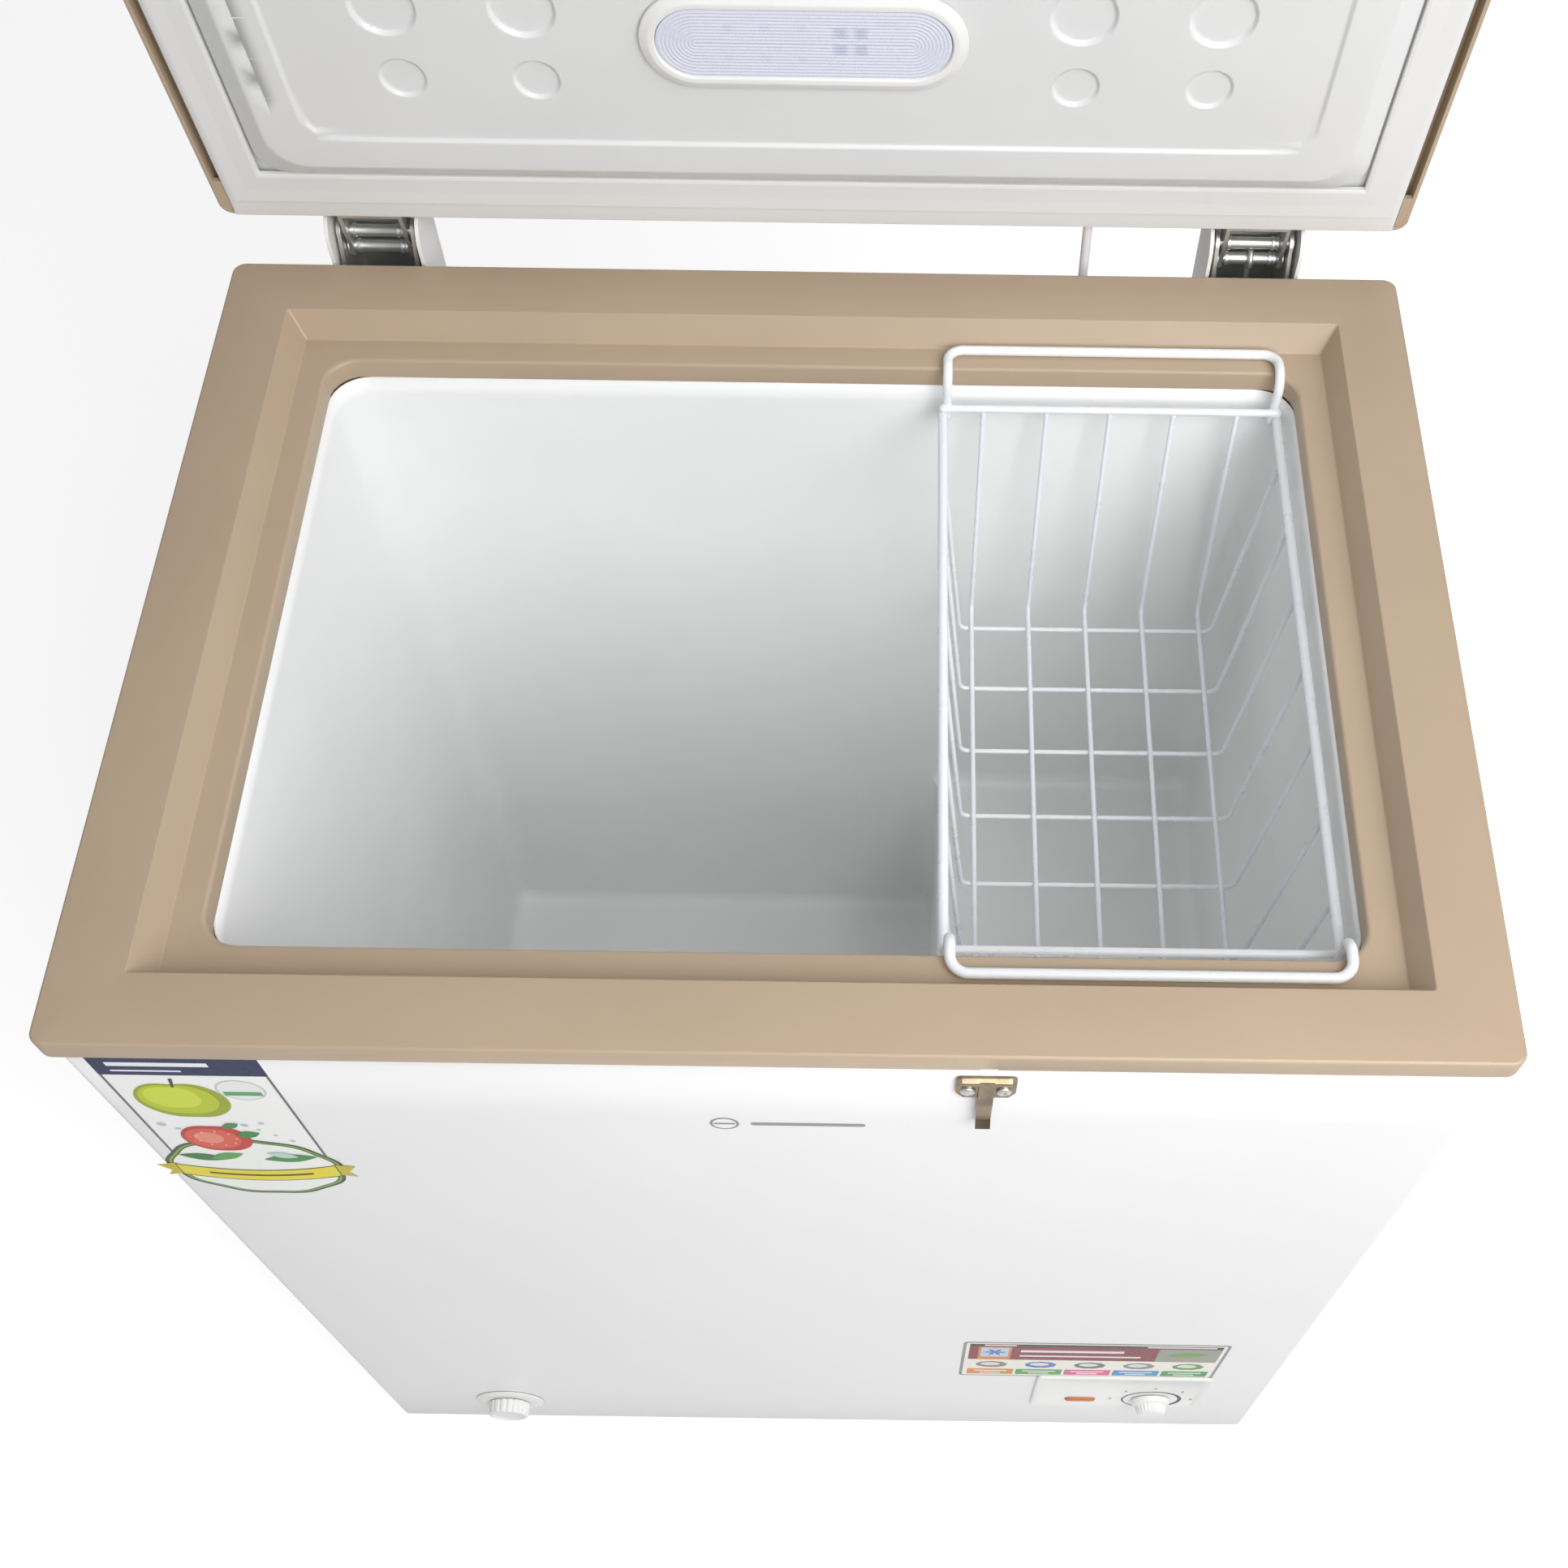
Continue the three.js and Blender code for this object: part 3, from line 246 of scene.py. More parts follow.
def swept(path, section):
    """A section of across and up offsets carried along a path, its axes turned from one station
    to the next without twist."""
    path = np.asarray(path, float)
    along = np.gradient(path, axis=0)
    along /= np.linalg.norm(along, axis=1)[:, None]
    start = np.eye(3)[np.argmin(np.abs(along[0]))]
    across = [np.cross(along[0], start)]
    for tangent in along[1:]:
        side = across[-1] - tangent * (across[-1] @ tangent)
        across.append(side / np.linalg.norm(side))
    across = np.array([a / np.linalg.norm(a) for a in across])
    up = np.cross(along, across)
    return path[:, None] + across[:, None] * section[..., :1] + up[:, None] * section[..., 1:]


def tube(path, radius, sides=12):
    """A circle carried along a path, its ends drawn in to round tips: there the centre goes on by
    the sine, and the radius shrinks by the cosine, of a quarter turn."""
    path = np.asarray(path, float)
    radius = np.broadcast_to(radius, len(path)).astype(float)
    lift = np.radians([35.0, 65.0, 85.0])
    tips = []
    for end, inner in ((0, 1), (-1, -2)):
        out = path[end] - path[inner]
        out /= np.linalg.norm(out)
        tips.append(path[end] + out * radius[end] * np.sin(lift)[:, None])
    path = np.concatenate([tips[0][::-1], path, tips[1]])
    shrink = np.cos(lift)
    radius = np.concatenate([radius[0] * shrink[::-1], radius, radius[-1] * shrink])
    angle = np.linspace(0, 2 * math.pi, sides, endpoint=False)
    circle = np.stack([np.cos(angle), np.sin(angle)], -1)
    points = swept(path, circle[None] * radius[:, None, None])
    return joined(skin(points, round_v=True), polygon(points[0]), polygon(points[-1], True))


def disc(x, y, radius, steps=32):
    angle = np.linspace(0, 2 * math.pi, steps, endpoint=False)
    return np.stack([x + radius * np.cos(angle), y + radius * np.sin(angle)], -1)


def round_box(x0, x1, y0, y1, radius, steps=5):
    return eased([(x0, y0), (x1, y0), (x1, y1), (x0, y1)], radius, steps)


def smooth(t):
    t = np.clip(t, 0, 1)
    return t * t * (3 - 2 * t)


# ---------------------------------------------------------------- materials


def linear(code):
    """An sRGB hex colour as linear red, green, blue and alpha."""
    channels = [int(code[i : i + 2], 16) / 255 for i in (1, 3, 5)]
    return (*[c / 12.92 if c <= 0.04045 else ((c + 0.055) / 1.055) ** 2.4 for c in channels], 1.0)


def add(tree, kind, sockets=None, **attributes):
    """Adds a node and sets its attributes. A node or an output given for a socket, by name or
    number, is linked to it, and any other value is set on it."""
    made = tree.nodes.new(kind)
    for name, value in attributes.items():
        setattr(made, name, value)
    for socket, value in (sockets or {}).items():
        if isinstance(value, bpy.types.Node):
            value = value.outputs[0]
        if isinstance(value, bpy.types.NodeSocket):
            tree.links.new(value, made.inputs[socket])
        else:
            made.inputs[socket].default_value = value
    return made


def start_material(name, **sockets):
    """A material with its shader and output, and its pattern coordinates in object space."""
    material = bpy.data.materials.new(name)
    material.use_nodes = True
    tree = material.node_tree
    tree.nodes.clear()
    constants = {socket.replace("_", " "): value for socket, value in sockets.items()}
    shader = add(tree, "ShaderNodeBsdfPrincipled", constants)
    add(tree, "ShaderNodeOutputMaterial", {0: shader})
    place = add(tree, "ShaderNodeTexCoord").outputs["Object"]
    return material, tree, shader, place


def per_mm(size):
    """The scale that makes a pattern's features about size millimetres across."""
    return 1 / (size * MM)


def spread(first, second, low=0.3, high=0.7):
    """A pattern's middle values, from low to high, taken to the range from first to second."""
    return {"From Min": low, "From Max": high, "To Min": first, "To Max": second}


def moulded_plastic(name, first, second, grain, depth, rough, **sockets):
    """Injection-moulded plastic: a fine spark-eroded grain, faint clouding from the resin, and a
    gloss that varies a little where the tool is worn."""
    material, tree, shader, place = start_material(name, **sockets)
    cloud = add(tree, "ShaderNodeTexNoise", {"Vector": place, "Scale": per_mm(120), "Detail": 3})
    share = add(tree, "ShaderNodeMapRange", {"Value": cloud, **spread(0, 1)})
    tint = add(tree, "ShaderNodeMix", {0: share, 6: linear(first), 7: linear(second)}, data_type="RGBA")
    tree.links.new(tint.outputs[2], shader.inputs["Base Color"])
    wear = add(tree, "ShaderNodeTexNoise", {"Vector": place, "Scale": per_mm(18), "Detail": 3})
    gloss = add(tree, "ShaderNodeMapRange", {"Value": wear, **spread(rough - 0.05, rough + 0.06)})
    tree.links.new(gloss.outputs[0], shader.inputs["Roughness"])
    fine = add(tree, "ShaderNodeTexNoise", {"Vector": place, "Scale": per_mm(grain), "Detail": 2})
    bump = add(tree, "ShaderNodeBump", {"Height": fine, "Distance": depth * MM, "Strength": 1})
    tree.links.new(bump.outputs[0], shader.inputs["Normal"])
    return material


def enamelled_steel(name, first, second):
    """Powder-coated sheet steel: a glossy film with orange peel about 3 mm across, over sheet
    that waves by a few hundredths of a millimetre."""
    material, tree, shader, place = start_material(name, Coat_Weight=0.25, Coat_Roughness=0.12, IOR=1.5)
    cloud = add(tree, "ShaderNodeTexNoise", {"Vector": place, "Scale": per_mm(200), "Detail": 3})
    share = add(tree, "ShaderNodeMapRange", {"Value": cloud, **spread(0, 1)})
    tint = add(tree, "ShaderNodeMix", {0: share, 6: linear(first), 7: linear(second)}, data_type="RGBA")
    tree.links.new(tint.outputs[2], shader.inputs["Base Color"])
    peel = add(tree, "ShaderNodeTexNoise", {"Vector": place, "Scale": per_mm(3), "Detail": 2})
    gloss = add(tree, "ShaderNodeMapRange", {"Value": peel, **spread(0.28, 0.36)})
    tree.links.new(gloss.outputs[0], shader.inputs["Roughness"])
    wave = add(tree, "ShaderNodeTexNoise", {"Vector": place, "Scale": per_mm(140), "Detail": 1})
    height = add(tree, "ShaderNodeMath", {0: peel, 1: wave}, operation="ADD")
    bump = add(tree, "ShaderNodeBump", {"Height": height, "Distance": 0.05 * MM, "Strength": 1})
    tree.links.new(bump.outputs[0], shader.inputs["Normal"])
    return material


def plated_steel(name, first, second, rough):
    """Electroplated pressed metal: bright, with a draw grain along the sheet that varies its gloss, and
    stains that shift its tint."""
    material, tree, shader, place = start_material(name, Metallic=0.9)
    stain = add(tree, "ShaderNodeTexNoise", {"Vector": place, "Scale": per_mm(14), "Detail": 4})
    share = add(tree, "ShaderNodeMapRange", {"Value": stain, **spread(0, 1)})
    tint = add(tree, "ShaderNodeMix", {0: share, 6: linear(first), 7: linear(second)}, data_type="RGBA")
    tree.links.new(tint.outputs[2], shader.inputs["Base Color"])
    drawn = add(tree, "ShaderNodeMapping", {"Vector": place, "Scale": (1, 1, 14)})
    grain = add(tree, "ShaderNodeTexNoise", {"Vector": drawn, "Scale": per_mm(1.2), "Detail": 4})
    gloss = add(tree, "ShaderNodeMapRange", {"Value": grain, **spread(rough - 0.06, rough + 0.1)})
    tree.links.new(gloss.outputs[0], shader.inputs["Roughness"])
    bump = add(tree, "ShaderNodeBump", {"Height": grain, "Distance": 0.02 * MM, "Strength": 1})
    tree.links.new(bump.outputs[0], shader.inputs["Normal"])
    return material


def foamed(name, first, second):
    """Rigid polyurethane foam: dull, with open cells about 1.5 mm across where it was cut."""
    material, tree, shader, place = start_material(name, Roughness=0.92)
    cells = add(tree, "ShaderNodeTexVoronoi", {"Vector": place, "Scale": per_mm(1.5)})
    share = add(tree, "ShaderNodeMapRange", {"Value": cells, **spread(0, 1)})
    tint = add(tree, "ShaderNodeMix", {0: share, 6: linear(second), 7: linear(first)}, data_type="RGBA")
    tree.links.new(tint.outputs[2], shader.inputs["Base Color"])
    bump = add(tree, "ShaderNodeBump", {"Height": cells, "Distance": 0.5 * MM, "Strength": 1})
    tree.links.new(bump.outputs[0], shader.inputs["Normal"])
    return material


def printed_film():
    """Screen-printed vinyl film: flat inks read from the piece's own colours, under a semi-gloss
    overlaminate with a trace of the adhesive's texture."""
    material, tree, shader, place = start_material("screen_printed_vinyl", IOR=1.4)
    ink = add(tree, "ShaderNodeAttribute", attribute_name="ink")
    tree.links.new(ink.outputs["Color"], shader.inputs["Base Color"])
    glue = add(tree, "ShaderNodeTexNoise", {"Vector": place, "Scale": per_mm(2.5), "Detail": 3})
    gloss = add(tree, "ShaderNodeMapRange", {"Value": glue, **spread(0.3, 0.42)})
    tree.links.new(gloss.outputs[0], shader.inputs["Roughness"])
    bump = add(tree, "ShaderNodeBump", {"Height": glue, "Distance": 0.015 * MM, "Strength": 1})
    tree.links.new(bump.outputs[0], shader.inputs["Normal"])
    return material


def prismatic_lens():
    """Opal polystyrene lamp lens: lavender through its ribs, greyer where the lamps sit behind it."""
    material, tree, shader, place = start_material("opal_polystyrene_lens", IOR=1.59)
    shade = add(tree, "ShaderNodeAttribute", attribute_name="lamps")
    tint = add(tree, "ShaderNodeMix", {0: shade.outputs["Fac"], 6: linear("#E0E1F1"), 7: linear("#AEBBD0")},
               data_type="RGBA")
    tree.links.new(tint.outputs[2], shader.inputs["Base Color"])
    frost = add(tree, "ShaderNodeTexNoise", {"Vector": place, "Scale": per_mm(1), "Detail": 3})
    gloss = add(tree, "ShaderNodeMapRange", {"Value": frost, **spread(0.24, 0.34)})
    tree.links.new(gloss.outputs[0], shader.inputs["Roughness"])
    bump = add(tree, "ShaderNodeBump", {"Height": frost, "Distance": 0.01 * MM, "Strength": 1})
    tree.links.new(bump.outputs[0], shader.inputs["Normal"])
    return material


MATERIALS = {
    # Beige ABS with a satin spark-eroded grain, drawn at 1.1 mm so that it shows.
    "abs_beige": lambda: moulded_plastic("moulded_abs_beige", "#B5A089", "#BAA58D", 1.1, 0.035, 0.4,
    IOR=1.53),
    # White ABS of the small trims, nearly smooth.
    "abs_white": lambda: moulded_plastic("moulded_abs_white", "#EDEDEC", "#F2F2F1", 1.4, 0.012, 0.34,
    IOR=1.53),
    # High-impact polystyrene, vacuum formed: a soft sheen with the sheet's faint draw texture.
    "hips_liner": lambda: moulded_plastic("vacuum_formed_polystyrene", "#F3F4F4", "#F8F9F9", 1.6, 0.02,
    0.38, IOR=1.59),
    # The same sheet on the lid, its colour made greyer than the tub's as painted shade.
    "hips_lid_painted_shade": lambda: moulded_plastic("vacuum_formed_polystyrene_lid_painted_shade", "#E2E3E3", "#E6E7E7", 1.6, 0.02,
    0.38, IOR=1.59),
    # Soft extruded vinyl of the magnetic seal: duller than the sheet it lies on.
    "pvc_gasket": lambda: moulded_plastic("extruded_vinyl_gasket", "#E5E5E5", "#E8E8E8", 1.2, 0.02, 0.5,
    IOR=1.52),
    # Extruded vinyl sheath of the lamp cable: an even satin line.
    "pvc_cable": lambda: moulded_plastic("extruded_vinyl_sheath", "#E9E9EB", "#EFEFF1", 1.5, 0.02, 0.4,
    IOR=1.52),
    # Polyethylene that the basket was dipped in: thick, smooth and a little cold in tone.
    "pe_wire": lambda: moulded_plastic("dipped_polyethylene", "#EEF2F7", "#F2F5F9", 2.2, 0.008, 0.3,
    IOR=1.51),
    # Black polypropylene: the grain shows as a soft grey sheen.
    "pp_black": lambda: moulded_plastic("moulded_polypropylene_black", "#1C1D1F", "#242527", 1.0, 0.05,
    0.5, IOR=1.49),
    # Black rubber of the feet and mounts: matt and faintly rough.
    "rubber": lambda: moulded_plastic("moulded_rubber_black", "#232324", "#2E2E2F", 0.8, 0.06, 0.78,
    IOR=1.52),
    # Clear amber moulding of the run lamp: glossy, darker than its beige surroundings.
    "amber_lens": lambda: moulded_plastic("moulded_amber_lens", "#BE6A34", "#C97A44", 2.0, 0.02, 0.22,
    IOR=1.49),
    # Glass-fibre board behind the lamps: pale green with the weave as a fine tooth.
    "board": lambda: moulded_plastic("glass_fibre_board", "#D9E2DA", "#E2E9E2", 0.9, 0.03, 0.45, IOR=1.5),
    # White powder coat of the cabinet: glossy, with orange peel that breaks up reflections.
    "enamel_white": lambda: enamelled_steel("powder_coated_steel_white", "#EEEEEF", "#F1F1F2"),
    # Black stoved enamel of the compressor and the rear grille.
    "enamel_black": lambda: enamelled_steel("stoved_enamel_black", "#1B1C1E", "#222325"),
    # Bright zinc of the hinges and screws: silver with warmer and colder patches.
    "zinc": lambda: plated_steel("zinc_plated_steel", "#D6DADA", "#E9E8E2", 0.36),
    # Nickel over brass tones on the catch and lock: its brown base colour, the same all over, is partly the
    # brass tone and partly a painted reflection of the dark that it mirrors.
    "nickel": lambda: plated_steel("nickel_plated_steel_painted_reflection", "#78654F", "#A8967C", 0.16),
    # Drawn copper tube: warm metal with brown stains.
    "copper": lambda: plated_steel("drawn_copper_tube", "#A9653A", "#C88558", 0.3),
    # Cut rigid foam: pale yellow and dull.
    "foam": lambda: foamed("rigid_polyurethane_foam", "#EFE6BE", "#D8CB94"),
    # Vinyl labels and dial: flat printed inks under a satin film.
    "film": printed_film,
    # Opal lens of the lid lamp.
    "lens": prismatic_lens,
}


def material(key):
    """The named material, made once."""
    if callable(MATERIALS[key]):
        MATERIALS[key] = MATERIALS[key]()
    return MATERIALS[key]


# ---------------------------------------------------------------- pieces


def piece(name, surface, body, finish, stands_for=(), edge=0.0, wall=0.0, facing=None, flat=False,
        lid=False):
    """A mesh from a surface in millimetres. edge rounds sharp edges and wall gives a sheet its
    thickness, both in millimetres. Closed shapes are faced out, an open one is turned so that most
    of it looks the way of facing, and a flat one is left as it is drawn."""
    points, faces = surface
    if lid:
        points = opened(points)
        facing = facing and opened(np.array(facing) + (0, PIVOT_Y, PIVOT_Z)) - (0, PIVOT_Y, PIVOT_Z)
    mesh = bpy.data.meshes.new(name)
    mesh.from_pydata(placed(points).tolist(), [], faces)
    if not flat:
        work = bmesh.new()
        work.from_mesh(mesh)
        bmesh.ops.remove_doubles(work, verts=work.verts, dist=0.002 * MM)
        bmesh.ops.dissolve_degenerate(work, edges=work.edges, dist=0.001 * MM)
        bmesh.ops.recalc_face_normals(work, faces=work.faces)
        if facing is not None and sum((f.normal * f.calc_area() for f in work.faces),
                Vector()) @ Vector(facing) < 0:
            bmesh.ops.reverse_faces(work, faces=work.faces)
        work.to_mesh(mesh)
        work.free()
    mesh.shade_smooth()
    mesh.set_sharp_from_angle(angle=math.radians(38))
    made = bpy.data.objects.new(name, mesh)
    bpy.context.scene.collection.objects.link(made)
    mesh.materials.append(material(finish))
    if wall:
        shell = made.modifiers.new("wall", "SOLIDIFY")
        shell.thickness, shell.offset = wall * MM, -1
    if edge:
        bevel = made.modifiers.new("edges", "BEVEL")
        bevel.width, bevel.segments, bevel.limit_method = edge * MM, 2, "ANGLE"
        bevel.angle_limit, bevel.harden_normals = math.radians(38), True
    if body:
        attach(made, body)
    if stands_for:
        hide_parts(*stands_for)
    return made


# ---------------------------------------------------------------- cabinet


CORNER_AT = [0, 3, 40.5, 49, 52, 66]
CORNER_RADIUS = [8, 6, 1.6, 1.6, 4, 20]
NOTCH_HALF = 4.2
CATCH_X = box_mm("lock_catch")[0][0] + 15.5


def collar_shape(notch_depth):
    """The collar's cross-section, eased at its edges, carried round the opening. The corner radius
    goes with the inset: round outside, sharp round the recess and round again at the throat. The
    front lip is pressed in by the notch depth for a few millimetres above the catch."""
    section = eased(
        [(0, LIP_Z), (0, RIM_Z), (40.5, RIM_Z), (49, RIM_Z - 17), (66, RIM_Z - 17), (66, RIM_Z - 31), (63,
        RIM_Z - 31),
         (63, RIM_Z - 20), (47, RIM_Z - 20), (38.5, RIM_Z - 3), (3, RIM_Z - 3), (3, LIP_Z)],
        [0.8, 2.0, 1.0, 1.6, 2.2, 0.6, 0.6, 1, 1, 1, 1, 0.8])
    corner = np.interp(section[:, 0], CORNER_AT, CORNER_RADIUS)
    edges = [CATCH_X + side * (NOTCH_HALF + ease) for side in (-1, 1) for ease in (0.35, 0.0)]
    stops = np.sort(np.concatenate([edges, [CATCH_X]])) / (HALF_X - 8)
    points = rectangles(section[:, 0], section[:, 1], corner, x_stops=stops)
    inside = np.abs(points[..., 0] - CATCH_X) < NOTCH_HALF + 0.1
    lip = (points[..., 1] < 3.2 - HALF_Y) & (points[..., 2] < RIM_Z - 3.5) & inside
    points[..., 1] += notch_depth * lip
    return skin(points, round_u=True, round_v=True)


def liner_shape(floor_fold, wall_fold):
    """The tub's section line (left wall, floor, step, top of the step, right wall) carried from
    front to back. At each end it swings through a quarter circle whose radius is small along the
    floors and larger up the walls, and a flat wall closes it."""
    x, y = HALF_X - 66, HALF_Y - 66
    top, floor, step, step_x = RIM_Z - 31.3, 112.0, 322.0, 91.0
    line = eased([(-x, top), (-x, floor), (step_x, floor), (step_x, step), (x, step), (x, top)],
                 [0, 16, 16, 12, 16, 0], 6, closed=False)
    line = finer(line, 14)
    along = np.gradient(line, axis=0)
    along /= np.linalg.norm(along, axis=1)[:, None]
    inward = np.stack([-along[:, 1], along[:, 0]], -1)
    from_floor = np.where(line[:, 0] > step_x + 20, line[:, 1] - step, line[:, 1] - floor)
    upright = np.abs(inward[:, 0]) * smooth((from_floor - 18) / 70)
    step_wall = np.abs(line[:, 0] - step_x) < 2
    upright = np.where(step_wall, upright * smooth((step - line[:, 1] - 14) / 40), upright)
    radius = floor_fold + (wall_fold - floor_fold) * upright
    swing = np.radians(np.linspace(90, 0, 8))
    rows = []
    for end in (-1, 1):
        for angle in swing if end < 0 else swing[::-1]:
            offset = inward * (radius * (1 - math.cos(angle)))[:, None]
            depth = end * (y - radius * (1 - math.sin(angle)))
            rows.append(np.stack([line[:, 0] + offset[:, 0], depth, line[:, 1] + offset[:, 1]], -1))
    rows = np.stack(rows)
    return joined(skin(rows), polygon(rows[0]), polygon(rows[-1], True))


def wrap_shape(corner, hem):
    """The sheet's plan, three sides with eased corners, carried up from a hem that is turned in."""
    plan = eased([(-PANEL_SIDE, PANEL_BACK), (-PANEL_SIDE, PANEL_FRONT), (PANEL_SIDE, PANEL_FRONT),
                  (PANEL_SIDE, PANEL_BACK)], [0, corner, corner, 0], 8, closed=False)
    plan = finer(plan, 60)
    along = np.gradient(plan, axis=0)
    along /= np.linalg.norm(along, axis=1)[:, None]
    inward = np.stack([-along[:, 1], along[:, 0]], -1)
    rise = finer(eased([(hem, PANEL_FOOT), (0, PANEL_FOOT), (0, PANEL_TOP)], [0, 1.5, 0], 4, closed=False),
        90)
    points = plan[None] + inward[None] * rise[:, None, :1]
    height = np.broadcast_to(rise[:, None, 1:], (*points.shape[:2], 1))
    return skin(np.concatenate([points, height], -1))


def back_sheet_shape(opening):
    """A flat sheet with a shallow swage along each side and across the middle, drawn in by half a
    cosine across each, and left open behind the grille."""
    side = PANEL_SIDE - 1.5
    x = np.union1d(np.linspace(-side, side, 150), opening[:2])
    z = np.union1d(np.linspace(PANEL_FOOT + 0.5, PANEL_TOP, 150), opening[2:])
    x, z = np.meshgrid(x, z, indexing="ij")
    inset = np.minimum(side - np.abs(x), np.minimum(z - PANEL_FOOT, PANEL_TOP - z))
    frame_line = np.abs(inset - 45)
    middle = np.where(np.abs(x) < side - 45, np.abs(z - 430), 99)
    depth = 2.2 * (1 + np.cos(np.pi * np.clip(np.minimum(frame_line, middle) / 9, 0, 1))) / 2
    points, faces = skin(np.stack([x, PANEL_BACK - 0.1 - depth, z], -1))
    centre = points[np.array(faces)].mean(1)
    shut = ((centre[:, 0] < opening[0]) | (centre[:, 0] > opening[1]) | (centre[:, 2] < opening[2])
            | (centre[:, 2] > opening[3]))
    return points, [face for face, kept in zip(faces, shut) if kept]


def foot_shape(centre):
    """A levelling foot: a pad with fluted edge, a stem with coarse thread and a lock plate."""
    turns = np.linspace(0, 1, 40)
    thread = np.stack([7.6 + 0.5 * np.cos(turns * 2 * math.pi * 7), 14 + turns * 19], -1)
    profile = np.concatenate([[(0, 0)], eased([(17, 0), (20, 3), (20, 8), (12, 12)], [2, 2, 2, 2], 3,
        closed=False),
                              thread, [(14, 33.7), (14, 39.7), (0, 39.7)]])
    flute = lambda r, a, h: np.where((r > 18.5) & (h < 9), r - 0.5 + 0.5 * np.cos(30 * a), r)
    return turned(profile, centre, steps=120, radius_of=flute)


def grille_shape():
    """A moulded frame with eased edges and slats that lean so that rain runs off them."""
    low, high = box_mm("rear_grille")
    y0, y1 = low[1], high[1]
    ring = []
    for inset, y, radius in [(0, y0, 6), (0, y1 - 1, 6), (1, y1, 5), (25, y1, 4), (26, y1 - 1, 3), (26, y0,
            3)]:
        outline = round_box(low[0] + inset, high[0] - inset, low[2] + inset, high[2] - inset, radius)
        ring.append(np.insert(outline, 1, y, axis=1))
    parts = [skin(np.stack(ring), round_u=True, round_v=True)]
    for z in np.linspace(low[2] + 31, high[2] - 31, 14):
        slat = [(y0 + 0.1, z + 3.2), (y1 - 0.4, z - 2.6), (y1 - 0.4, z - 4.4), (y0 + 0.1, z + 1.2)]
        parts.append(slab_edge(slat, low[0] + 24, high[0] - 24, 0))
    for x in (-1, 1):
        middle = (low[0] + high[0]) / 2 + x * 30
        rib = [(y0 + 0.2, low[2] + 24), (y1 - 0.6, low[2] + 24), (y1 - 0.6, high[2] - 24), (y0 + 0.2,
            high[2] - 24)]
        parts.append(slab_edge(rib, middle - 1.5, middle + 1.5, 0))
    return joined(*parts)


def screw_shape(centre, radius, out, turned_by=0.4):
    """A pan-head screw seen from outside: the dome's height falls with the square of the radius,
    and a cross is sunk into it. out is -1 where the head faces the front and 1 where it faces back."""
    profile = [(0.0, 0.0), (radius, 0.0), (radius, 0.7)]
    dome = [(radius * math.cos(a), 0.7 + 1.2 * math.sin(a)) for a in np.radians([20, 45, 62])]
    cross = [(radius * 0.46, 1.78), (radius * 0.42, 1.1), (radius * 0.2, 0.9), (0.0, 0.8)]
    shape = lambda r, a, h: np.where(
        (r < radius * 0.47) & (r > 0), r * (0.42 + 0.95 * np.abs(np.cos(2 * (a + turned_by))) ** 4), r)
    points, faces = turned(profile + dome + cross, (0, 0, 0), axis=1, steps=48, radius_of=shape)
    return points * (1, out, 1) + np.asarray(centre), faces


def helix(centre, radius, low, high, turns):
    t = np.linspace(0, 1, turns * 20 + 1)
    angle = t * turns * 2 * math.pi
    return np.stack([centre[0] + radius * np.cos(angle), centre[1] + radius * np.sin(angle),
        high - (high - low) * t], -1)


# ---------------------------------------------------------------- catch, controls and drain


def catch_shape():
    """Pressed plate with a rolled top edge, and a tongue whose foot is kicked out."""
    skin_y = PANEL_FRONT - 0.3
    half = 15.5
    plate = slab_edge(eased([(CATCH_X - half, 770), (CATCH_X - half, 752), (CATCH_X - half + 3.6, 746),
                             (CATCH_X + half - 3.6, 746), (CATCH_X + half, 752), (CATCH_X + half, 770)],
                            [2.5, 3, 2, 2, 3, 2.5], 5), skin_y - 1.5, skin_y, 1)
    roll = eased([(skin_y - 1.2, 764.8), (skin_y - 4.0, 765.4), (skin_y - 4.2, 768.6), (skin_y - 1.2,
        770)], [0, 1, 1, 0], 5)
    rolled = slab_edge(roll, CATCH_X - 13, CATCH_X + 13, 0)
    path = eased([(skin_y - 3.4, 769), (skin_y - 3.6, 742), (skin_y - 3.2, 723), (skin_y - 6.5, 717)], [0,
        8, 1.2, 0], 7,
                 closed=False)
    along = np.gradient(path, axis=0)
    along /= np.linalg.norm(along, axis=1)[:, None]
    normal = np.stack([along[:, 1], -along[:, 0]], -1)
    outline = np.concatenate([path + normal, (path - normal)[::-1]])
    return joined(plate, rolled, slab_edge(outline, CATCH_X - 4, CATCH_X + 4, 0))


def knob_shape(centre, radius, front, back):
    """A round knob with a skirt and a raised grip whose width narrows to both ends."""
    depth = back - front
    skirt = [(0, 0), (radius, 0), (radius, 1.6), (radius - 1.2, 4.2), (radius - 3.2, 5), (radius - 4.5,
        depth - 2),
             (radius - 6, depth), (0, depth)]
    skirt = eased(skirt, [0, 0.5, 0.8, 1.5, 1.5, 1, 1.5, 0], 4, closed=False)
    flute = lambda r, a, h: np.where((h > 5.2) & (r > 8), r - 0.35 + 0.35 * np.cos(24 * a), r)
    points, faces = turned(skirt, (0, 0, 0), axis=1, steps=120, radius_of=flute)
    return points * (1, -1, 1) + (centre[0], back, centre[2]), faces


